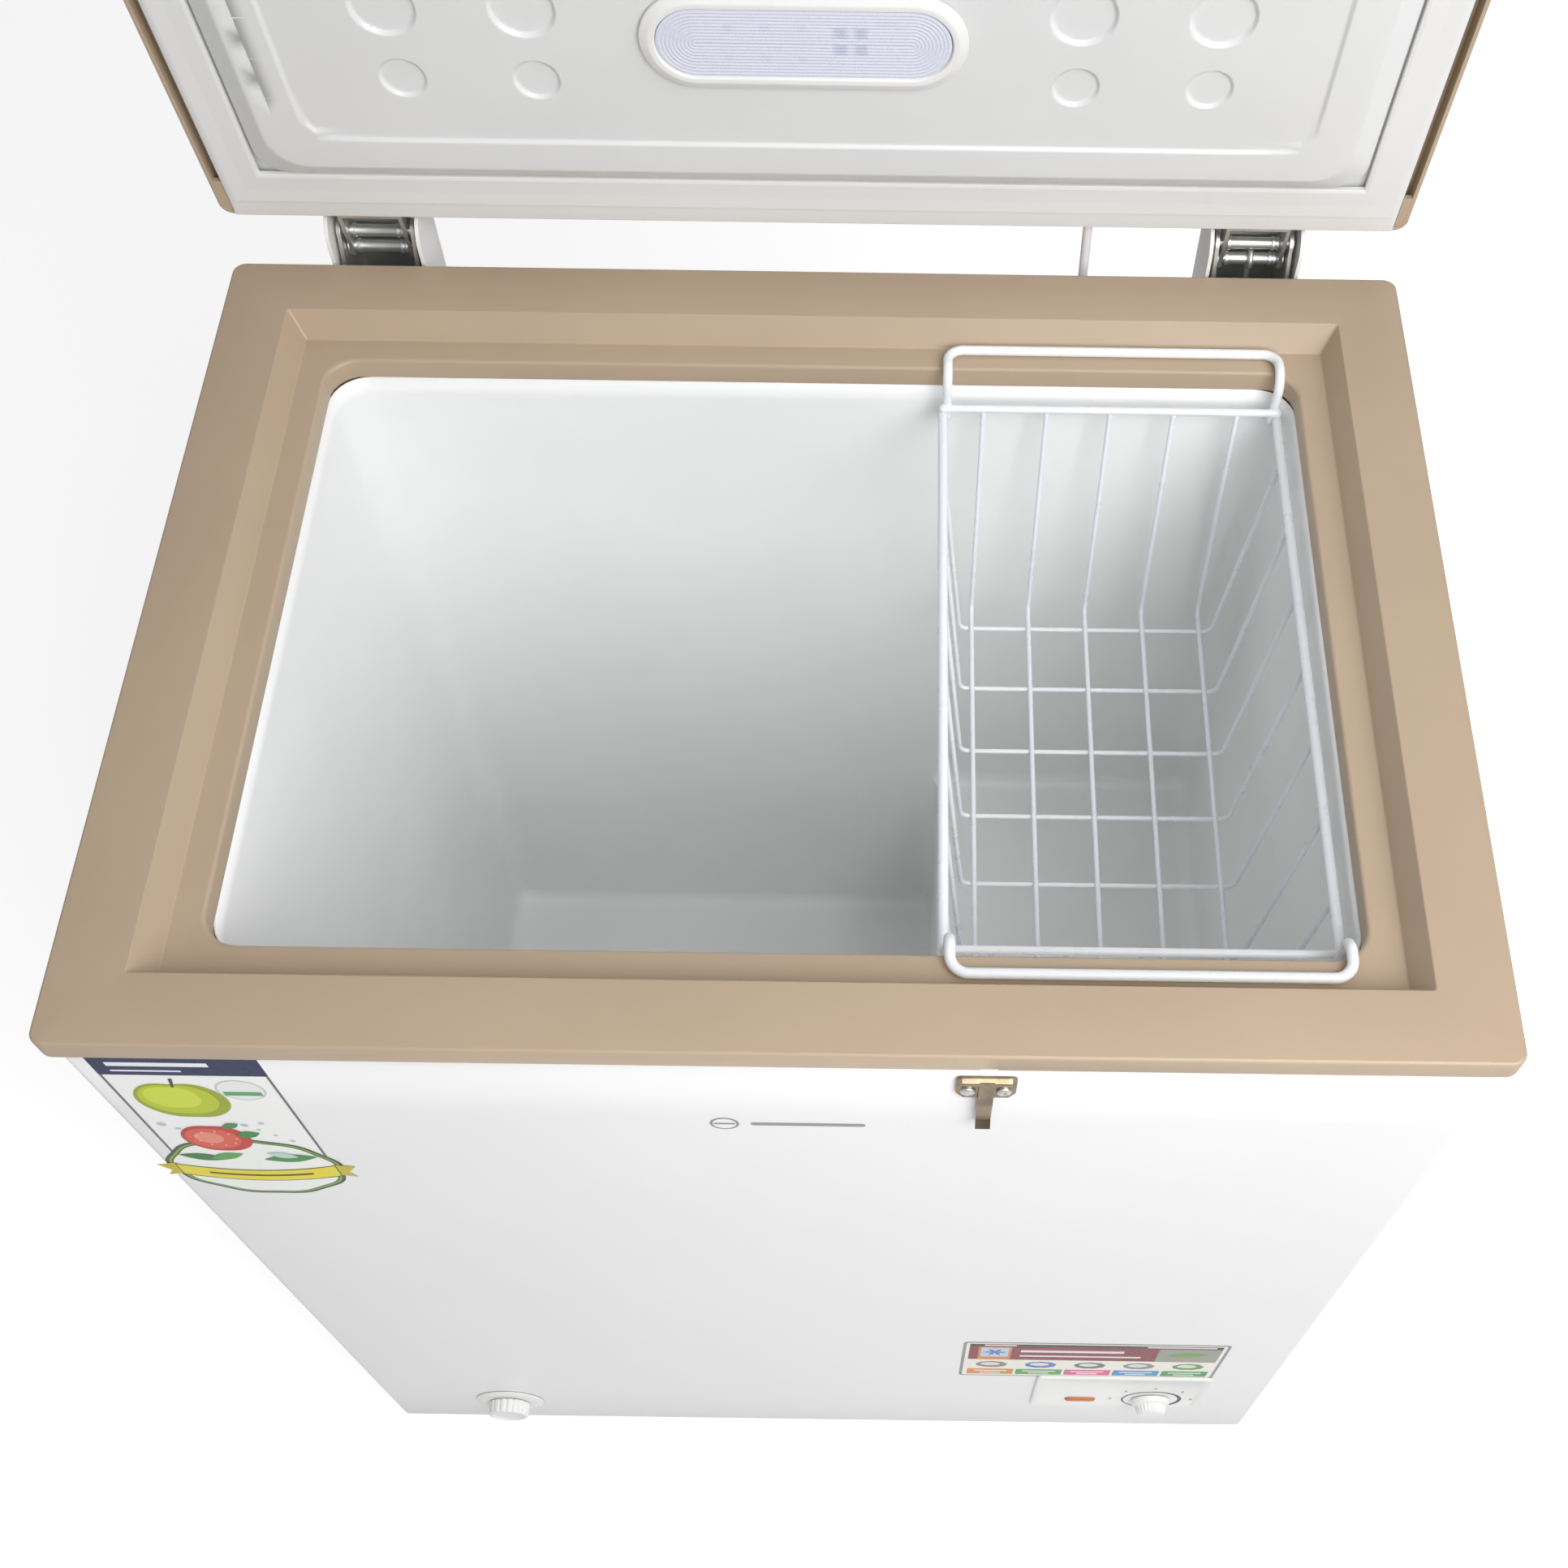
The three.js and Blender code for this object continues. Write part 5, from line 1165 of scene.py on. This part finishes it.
def numeral(text, x, z, y, height):
    """A dial's number as flat faces, set middle down on its place."""
    curve = bpy.data.curves.new("numeral", "FONT")
    curve.body, curve.size, curve.align_x = text, height, "CENTER"
    holder = bpy.data.objects.new("numeral", curve)
    flat = bpy.data.meshes.new_from_object(holder)
    points = np.array([(x + v.co.x, y, z + v.co.y) for v in flat.vertices])
    faces = [list(f.vertices) for f in flat.polygons]
    bpy.data.objects.remove(holder)
    bpy.data.curves.remove(curve)
    bpy.data.meshes.remove(flat)
    return points, faces


# ---------------------------------------------------------------- the add-on


class FreezerCabinet(bpy.types.PropertyGroup):
    corner: bpy.props.FloatProperty(name="Corner radius",
        description="Round of the sheet at the cabinet's upright edges", default=0.006, unit="LENGTH",
        min=0.002)
    sheet: bpy.props.FloatProperty(name="Sheet", description="Thickness of the enamelled sheet",
        default=0.0008, unit="LENGTH", min=0.0004)
    hem: bpy.props.FloatProperty(name="Hem", description="Width of the hem turned in at the foot",
        default=0.012, unit="LENGTH", min=0.004)
    liner_wall: bpy.props.FloatProperty(name="Liner wall", description="Thickness of the formed liner",
        default=0.0011, unit="LENGTH", min=0.0005)
    floor_fold: bpy.props.FloatProperty(name="Floor fold", description="Radius along the liner's floors",
        default=0.013, unit="LENGTH", min=0.004)
    wall_fold: bpy.props.FloatProperty(name="Wall fold",
        description="Radius of the liner's upright corners", default=0.024, unit="LENGTH", min=0.008)
    notch: bpy.props.FloatProperty(name="Lip notch", description="Depth of the notch over the catch",
        default=0.0005, unit="LENGTH", min=0.0002)


class FreezerBasket(bpy.types.PropertyGroup):
    weld: bpy.props.FloatProperty(name="Weld", description="How much a wire swells where it is welded",
        default=0.0006, unit="LENGTH", min=0.0)


class FreezerLid(bpy.types.PropertyGroup):
    crown: bpy.props.FloatProperty(name="Crown", description="Rise of the lid's outer sheet",
        default=0.0016, unit="LENGTH", min=0.0)
    rib_pitch: bpy.props.FloatProperty(name="Rib pitch", description="Distance between the lens's ribs",
        default=0.0021, unit="LENGTH", min=0.0015)
    rib_depth: bpy.props.FloatProperty(name="Rib depth", description="Half height of the lens's ribs",
        default=0.00018, unit="LENGTH", min=0.0)


class FreezerStage(bpy.types.PropertyGroup):
    background: bpy.props.FloatVectorProperty(name="Background",
        description="Colour of the floor and the sky", subtype="COLOR", default=linear("#FFFFFF")[:3],
        min=0, max=1)
    softness: bpy.props.FloatProperty(name="Softness", description="Size of the studio lights",
        default=1.6, unit="LENGTH", min=0.2)


def mm(value):
    return value / MM


class FREEZER_OT_stage(bpy.types.Operator):
    """Set the camera, the floor and the studio light"""

    bl_idname = "freezer.stage"
    bl_label = "Stage"

    def execute(self, context):
        sizes = context.scene.freezer_stage
        camera = bpy.data.objects.new("camera", bpy.data.cameras.new("camera"))
        context.scene.collection.objects.link(camera)
        context.scene.camera = camera
        camera.data.sensor_width, camera.data.lens = 36, 41.115
        camera.data.shift_x, camera.data.shift_y = -0.0712, 0.0954
        turn = Matrix.Rotation(math.radians(-0.15), 4, "Z") @ Matrix.Rotation(math.radians(28.48), 4, "X")
        camera.matrix_world = Matrix.Translation((0.0555, -0.65925,
            1.5985)) @ turn @ Matrix.Rotation(math.radians(0.94), 4, "Z")
        world = bpy.data.worlds.new("studio")
        context.scene.world = world
        world.use_nodes = True
        world.node_tree.nodes["Background"].inputs[0].default_value = (*sizes.background, 1)
        world.node_tree.nodes["Background"].inputs[1].default_value = 0.35
        context.scene.view_settings.view_transform = "Standard"
        floor_mesh = bpy.data.meshes.new("floor")
        floor_mesh.from_pydata([(-6, -6, 0), (6, -6, 0), (6, 6, 0), (-6, 6, 0)], [], [(0, 1, 2, 3)])
        floor = bpy.data.objects.new("floor", floor_mesh)
        context.scene.collection.objects.link(floor)
        paint, tree, shader, place = start_material("studio_floor", Roughness=0.8)
        shader.inputs["Base Color"].default_value = (*[0.9 * level for level in sizes.background], 1)
        shader.inputs["Emission Color"].default_value = (*sizes.background, 1)
        seen = add(tree, "ShaderNodeLightPath").outputs["Is Camera Ray"]
        glow = add(tree, "ShaderNodeMapRange", {"Value": seen, **spread(0, 0.5, 0, 1)})
        tree.links.new(glow.outputs[0], shader.inputs["Emission Strength"])
        floor_mesh.materials.append(paint)
        for name, at, aim, power, size in [
            ("key_light", (0.6, -1.15, 1.75), (0.0, 0.1, 0.7), 21, 0.75 * sizes.softness),
            ("fill_light", (1.2, -0.9, 2.3), (-0.2, 0.1, 0.6), 12, 0.75 * sizes.softness),
            ("back_light", (0.3, 2.2, 2.4), (0.0, 0.2, 0.9), 9, sizes.softness),
        ]:
            lamp = bpy.data.lights.new(name, "AREA")
            lamp.energy, lamp.size = power, size
            light = bpy.data.objects.new(name, lamp)
            context.scene.collection.objects.link(light)
            light.location = at
            light.rotation_euler = (Vector(aim) - Vector(at)).to_track_quat("-Z", "Y").to_euler()
        return {"FINISHED"}


class FREEZER_OT_cable(bpy.types.Operator):
    """Lay the lamp's cable from the cabinet's back to the lid"""

    bl_idname = "freezer.cable"
    bl_label = "Lamp cable"

    def execute(self, context):
        x, out, z = 172.0, PANEL_BACK + 4.3, 706.0
        knots = np.array([(x, out, z), (x, out + 9.7, z + 1), (x + 0.5, out + 19.7, z + 12), (x + 1,
            out + 23.7, z + 34),
                          (x + 0.5, out + 23.7, z + 62), (x, out + 22.2, z + 90), (x - 0.5, out + 20.7,
                          z + 112),
                          (x - 0.5, out + 20.3, PIVOT_Z + 17.4)])
        line = catmull_rom(knots, 12)
        laid = piece("lamp_flex", tube(line, 3.0, 20), None, "pvc_cable", ["lamp_cable"])
        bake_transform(laid)
        profile = eased([(3.2, -1), (4.5, -1), (4.5, 0), (7, 0), (7, 2.6), (5.6, 4), (3.2, 4)], [0, 0.3, 0,
            0.4, 1, 1, 0.4], 3)
        piece("cable_grommet", turned(profile, (x, PANEL_BACK, z), axis=1, steps=40), "cabinet",
            "abs_white",
              ["cable_gland"])
        return {"FINISHED"}


class FREEZER_OT_cabinet(bpy.types.Operator):
    """Build the collar, the enamelled sheets, the feet and the rear grille"""

    bl_idname = "freezer.cabinet"
    bl_label = "Cabinet"

    def execute(self, context):
        sizes = context.scene.freezer_cabinet
        piece("top_collar", collar_shape(mm(sizes.notch)), "cabinet", "abs_beige",
            ["collar"])
        piece("cabinet_shell", wrap_shape(mm(sizes.corner), mm(sizes.hem)), "cabinet",
            "enamel_white",
              ["cabinet_wrapper"], wall=mm(sizes.sheet), facing=(0, -1, 0))
        low, high = box_mm("rear_grille")
        opening = [low[0] + 8, high[0] - 8, low[2] + 8, high[2] - 8]
        piece("back_sheet", back_sheet_shape(opening), "cabinet", "enamel_white",
            ["back_panel"],
              wall=0.6, facing=(0, 1, 0))
        piece("vent_grille", grille_shape(), "cabinet", "pp_black", ["rear_grille"])
        for end in ("front_left", "front_right", "rear_left", "rear_right"):
            low, high = box_mm(f"foot_{end}")
            centre = (low + high) / 2
            piece(f"levelling_foot_{end}", foot_shape((centre[0], centre[1], 0)), "cabinet",
                "pp_black",
                  [f"foot_{end}"])
        return {"FINISHED"}


class FREEZER_OT_liner(bpy.types.Operator):
    """Form the liner and the plug in its drain"""

    bl_idname = "freezer.liner"
    bl_label = "Liner"

    def execute(self, context):
        sizes = context.scene.freezer_cabinet
        tub = liner_shape(mm(sizes.floor_fold), mm(sizes.wall_fold))
        piece("liner_tub", tub, "cabinet", "hips_liner", ["inner_liner"],
            wall=mm(sizes.liner_wall), facing=(0, 0, 1))
        low, high = box_mm("drain_plug")
        x, y = (low[:2] + high[:2]) / 2
        top = high[2]
        profile = eased([(0, top - 3), (6.5, top - 3), (7.5, top), (11.2, top), (12, top - 2), (12, 112.4),
            (8, 112.4), (8, low[2]), (0, low[2])],
                        [0, 1, 0.8, 0.8, 1, 0.4, 0, 1, 0], 4, closed=False)
        piece("well_plug", turned(profile, (x, y, 0), steps=56), "cabinet", "abs_white",
            ["drain_plug"])
        return {"FINISHED"}


class FREEZER_OT_front(bpy.types.Operator):
    """Fit the catch, the control panel with its lamp and knob, and the drain cap"""

    bl_idname = "freezer.front"
    bl_label = "Front fittings"

    def execute(self, context):
        skin_y = PANEL_FRONT
        # The catch's nickel finish is painted brown: partly a painted reflection of the dark.
        piece("lid_catch", catch_shape(), "cabinet", "nickel", ["lock_catch"], edge=0.35)
        for side, name in ((-1, "left"), (1, "right")):
            piece(f"catch_fixing_{name}", screw_shape((CATCH_X + side * 9.2, skin_y - 1.8, 754.5), 4, -1,
                0.3 + side * 0.25),
                  "cabinet", "zinc", [f"catch_screw_{name}"])
        low, high = box_mm("control_panel")
        panel = []
        for inset, y, radius in [(0, high[1], 4), (0, low[1] + 1.0, 4), (1.0, low[1], 3.5), (5, low[1],
                2.5), (5.8, low[1] + 0.5, 2.2)]:
            outline = round_box(low[0] + inset, high[0] - inset, low[2] + inset, high[2] - inset, radius)
            panel.append(np.insert(outline, 1, y, axis=1))
        panel = np.stack(panel)
        piece("control_plate", joined(skin(panel, round_v=True), polygon(panel[0]), polygon(panel[-1])),
            "cabinet",
              "abs_white", ["control_panel"])
        lamp_low, lamp_high = box_mm("run_lamp")
        x, z = (lamp_low[0] + lamp_high[0]) / 2, (lamp_low[2] + lamp_high[2]) / 2
        half, round_end = (lamp_high[0] - lamp_low[0]) / 2, (lamp_high[2] - lamp_low[2]) / 2
        offsets = np.array([0, 0, 0.2, 0.8, 1.8, 3.2, round_end - 0.02])
        heights = np.array([6, 1.2, 0.6, 0.2, 0, -0.25, -0.3])
        rings = stadium_rings(offsets, heights, (x, z), half, round_end, straight=9, arc=18)[..., [0, 2, 1]]
        rings[..., 1] += lamp_low[1] + 0.3
        piece("power_lamp", joined(skin(rings, round_v=True), polygon(rings[0])), "cabinet",
            "amber_lens", ["run_lamp"])
        low, high = box_mm("thermostat_knob")
        centre = (low + high) / 2
        radius = (high[0] - low[0]) / 2
        piece("dial_knob", knob_shape(centre, radius, low[1], high[1]), "knob",
            "abs_white", ["thermostat_knob"])
        plate_y = box_mm("control_panel")[0][1] + 0.5
        printed("dial_scale", dial_shapes(centre[0], centre[2], 26), plate_y, "cabinet")
        numbers = []
        for i in range(7):
            angle = math.radians(-132 + i * 44)
            numbers.append(numeral(str(i + 1), centre[0] + 33 * math.sin(angle),
                centre[2] + 33 * math.cos(angle) - 1.7, plate_y - 0.1, 6.5))
        marks = piece("dial_numbers", joined(*numbers), "cabinet", "film", flat=True)
        ink_faces(marks, ["#39404A"] * len(marks.data.polygons))
        low, high = box_mm("drain_escutcheon")
        centre, radius = (low + high) / 2, (high[0] - low[0]) / 2
        profile = eased([(9.5, 0), (9.5, 2.2), (radius - 5, 2.2), (radius - 0.5, 1), (radius, 0)], [0.2,
            0.3, 2, 0.5, 0.2], 4)
        points, faces = turned(profile, (0, 0, 0), axis=1, steps=96)
        piece("drain_collar_ring", (points * (1, -1, 1) + (centre[0], high[1], centre[2]), faces),
            "cabinet", "abs_white",
              ["drain_escutcheon"])
        low, high = box_mm("drain_cap")
        centre, radius = (low + high) / 2, (high[2] - low[2]) / 2
        piece("drain_screw_cap", cap_shape(centre, radius, low[1], high[1]), "drain_cap",
            "abs_white", ["drain_cap"])
        return {"FINISHED"}


class FREEZER_OT_basket(bpy.types.Operator):
    """Bend and weld the wire basket"""

    bl_idname = "freezer.basket"
    bl_label = "Basket"

    def execute(self, context):
        piece("wire_basket", basket_shape(mm(context.scene.freezer_basket.weld)), "basket",
            "pe_wire", ["basket"])
        return {"FINISHED"}


class FREEZER_OT_hinges(bpy.types.Operator):
    """Build both hinges and the counterbalance in the right one"""

    bl_idname = "freezer.hinges"
    bl_label = "Hinges"

    def execute(self, context):
        arm = 12.0
        spring_y, spring_z = PIVOT_Y + arm * math.sin(OPEN_ANGLE), PIVOT_Z - arm * math.cos(OPEN_ANGLE)
        for side, name in ((-1, "left"), (1, "right")):
            x = side * 277.0
            piece(f"hinge_plate_{name}", bracket_shape(x, side > 0), "cabinet", "zinc",
                [f"hinge_bracket_{name}"], edge=0.3)
            piece(f"hinge_hood_{name}", cover_shape(x), "cabinet", "abs_white",
                [f"hinge_cover_{name}"],
                  wall=2.4, edge=0.7, facing=(0, 1, 0))
            piece(f"hinge_axle_{name}", pin_shape((x, PIVOT_Y, PIVOT_Z), CHEEK), "cabinet",
                "zinc", [f"hinge_pin_{name}"])
            piece(f"hinge_leaf_{name}", leaf_shape(x, spring_y, spring_z), "lid", "zinc",
                [f"lid_leaf_{name}"], edge=0.3,
                  lid=True)
            piece(f"spring_axle_{name}", pin_shape((x, spring_y, spring_z), EAR), "lid",
                "zinc",
                  [f"spring_pin_{name}"], lid=True)
        x, guide = 277.0, PIVOT_Z - 111
        eye = arc_points((PIVOT_Y, PIVOT_Z - arm), 5.1, 215, -75, 22)
        shank = np.concatenate([eye, [(PIVOT_Y + 0.6, PIVOT_Z - arm - 9), (PIVOT_Y, PIVOT_Z - arm - 16),
            (PIVOT_Y, 626.6)]])
        shank = finer(np.insert(shank, 0, x, axis=1), 5)
        piece("counter_rod", tube(shank, 2.0, 16), "counterbalance_rod", "zinc",
            ["spring_rod"])
        low, high = box_mm("rod_nut")
        hexagon = disc(x, PIVOT_Y, 5.6, 6)
        washer = eased([(2.3, high[2] - 1.8), (10, high[2] - 1.8), (10, high[2]), (2.3, high[2])], 0.3, 2)
        nut = joined(turned(washer, (x, PIVOT_Y, 0), steps=40), slab_edge(hexagon, low[2], high[2] - 1.8,
            2))
        piece("counter_nut", nut, "counterbalance_rod", "zinc", ["rod_nut"], edge=0.25)
        low, high = box_mm("lid_spring")
        coil = tube(helix((x, PIVOT_Y), 7.6, low[2] + 1.5, high[2] - 1.5, 9), 1.25, 10)
        spring = piece("counter_spring", coil, "cabinet", "zinc", ["lid_spring"])
        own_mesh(spring)
        return {"FINISHED"}


class FREEZER_OT_lid(bpy.types.Operator):
    """Build the lid, its gasket, its lamp and its handle, shut and then opened"""

    bl_idname = "freezer.lid"
    bl_label = "Lid"

    def execute(self, context):
        sizes = context.scene.freezer_lid
        core = rectangles([8.6, 8.6, 8.6], [LID_SEAT + 11, LID_SEAT + 30, LID_TOP - 4.4], 2, arc=3)
        piece("lid_core", joined(skin(core, round_v=True), polygon(core[0]), polygon(core[-1], True)),
            "lid", "foam",
              ["lid_foam"], lid=True)
        piece("lid_surround", frame_shape(), "lid", "abs_beige", ["lid_frame"], lid=True)
        piece("lid_outer_sheet", top_sheet_shape(mm(sizes.crown)), "lid", "enamel_white",
            ["lid_top_panel"],
              wall=0.6, facing=(0, 0, 1), lid=True)
        piece("magnetic_seal", gasket_shape(), "lid", "pvc_gasket", ["lid_gasket"],
            lid=True)
        # The lid liner's finish is the tub's sheet made greyer: painted shade.
        piece("lid_liner", inner_panel_shape(), "lid", "hips_lid_painted_shade", ["lid_inner_panel"],
            wall=1.2, facing=(0, 0, -1),
              lid=True)
        piece("lamp_surround", bezel_shape(), "lid", "abs_white", ["lamp_bezel"], lid=True)
        lens = lens_shape(mm(sizes.rib_pitch), mm(sizes.rib_depth))
        made = piece("lamp_cover", lens, "lid", "lens", ["lamp_lens"], lid=True)
        back = closed_again(np.array([v.co for v in made.data.vertices]))
        shades = made.data.attributes.new("lamps", "FLOAT", "POINT")
        shades.data.foreach_set("value", lens_shades(back).astype(np.float32))
        grip_back = -HALF_Y - 0.3
        handle = handle_shape(CATCH_X, 35, 842, 716, grip_back, grip_back - 26)
        piece("lid_grip", handle, "lid", "abs_beige", ["lid_handle"], wall=3, facing=(0,
            -1, 0), lid=True)
        profile = eased([(0, -22), (7.6, -22), (7.6, 1.4), (6.8, 2.4), (2.4, 2.4), (2.2, 1.6), (0, 1.6)],
            [0, 0, 0.4, 0.7, 0.3, 0.2, 0], 4,
                        closed=False)
        points, faces = turned(profile, (0, 0, 0), axis=1, steps=48)
        barrel = (points * (1, -1, 1) + (CATCH_X, grip_back - 26, 738), faces)
        slot = slab_edge(round_box(CATCH_X - 0.8, CATCH_X + 0.8, 734, 742, 0.5), grip_back - 27.9,
            grip_back - 27, 1)
        inside = grip_back - 22.5
        arm = slab_edge(round_box(CATCH_X - 26, CATCH_X + 6, 733, 743, 3), inside, inside + 2, 1)
        hook = slab_edge(round_box(CATCH_X - 26, CATCH_X - 24, 734, 742, 0.6), inside, inside + 20, 1)
        # The lock's nickel finish is painted brown: partly a painted reflection of the dark.
        piece("lock_barrel", joined(barrel, slot, arm, hook), "lock", "nickel",
            ["lock_cylinder"], lid=True)
        return {"FINISHED"}


class FREEZER_OT_labels(bpy.types.Operator):
    """Stick the printed labels on the front"""

    bl_idname = "freezer.labels"
    bl_label = "Labels"

    def execute(self, context):
        printed("care_label", care_label_shapes(), PANEL_FRONT, "cabinet")
        printed("feature_label", feature_label_shapes(), PANEL_FRONT, "cabinet")
        printed("maker_mark", mark_shapes(), PANEL_FRONT, "cabinet")
        return {"FINISHED"}


class FREEZER_OT_inner_parts(bpy.types.Operator):
    """Give the pieces that stay as the frame has them their own finish"""

    bl_idname = "freezer.inner_parts"
    bl_label = "Inner parts"

    def execute(self, context):
        for names, finish in [
            (("foam_insulation",), "foam"), (("evaporator_coil", "suction_pipe"), "copper"),
            (("condenser_coil", "compressor", "filter_drier"), "enamel_black"),
            (("bottom_pan", "compressor_tray"), "zinc"),
            (tuple(f"compressor_mount_{i}" for i in range(1, 5)), "rubber"), (("drain_tube", "thermostat"),
            "abs_white"),
            (("cord_gland",), "pp_black"), (("lamp_board",), "board"),
        ]:
            for name in names:
                node = frame["nodes"][name]
                node.data.materials.clear()
                node.data.materials.append(material(finish))
        return {"FINISHED"}


OPERATORS = (FREEZER_OT_stage, FREEZER_OT_cable, FREEZER_OT_cabinet, FREEZER_OT_liner, FREEZER_OT_front,
    FREEZER_OT_basket,
             FREEZER_OT_hinges, FREEZER_OT_lid, FREEZER_OT_labels, FREEZER_OT_inner_parts)
SETTINGS = {"freezer_cabinet": FreezerCabinet, "freezer_basket": FreezerBasket, "freezer_lid": FreezerLid,
    "freezer_stage": FreezerStage}


class FREEZER_PT_panel(bpy.types.Panel):
    """Sizes of the freezer and a button for each group of its pieces"""

    bl_idname = "FREEZER_PT_panel"
    bl_label = "Chest freezer"
    bl_space_type = "VIEW_3D"
    bl_region_type = "UI"
    bl_category = "Freezer"

    def draw(self, context):
        for name, group in SETTINGS.items():
            column = self.layout.column(align=True)
            for size in group.__annotations__:
                column.prop(getattr(context.scene, name), size)
        for operator in OPERATORS:
            self.layout.operator(operator.bl_idname)


def register():
    for kind in (*SETTINGS.values(), *OPERATORS, FREEZER_PT_panel):
        bpy.utils.register_class(kind)
    for name, group in SETTINGS.items():
        setattr(bpy.types.Scene, name, bpy.props.PointerProperty(type=group))


def unregister():
    for name in SETTINGS:
        delattr(bpy.types.Scene, name)
    for kind in reversed((*SETTINGS.values(), *OPERATORS, FREEZER_PT_panel)):
        bpy.utils.unregister_class(kind)


def main():
    register()
    for operator in OPERATORS:
        group, name = operator.bl_idname.split(".")
        getattr(getattr(bpy.ops, group), name)()


if __name__ == "__main__":
    main()
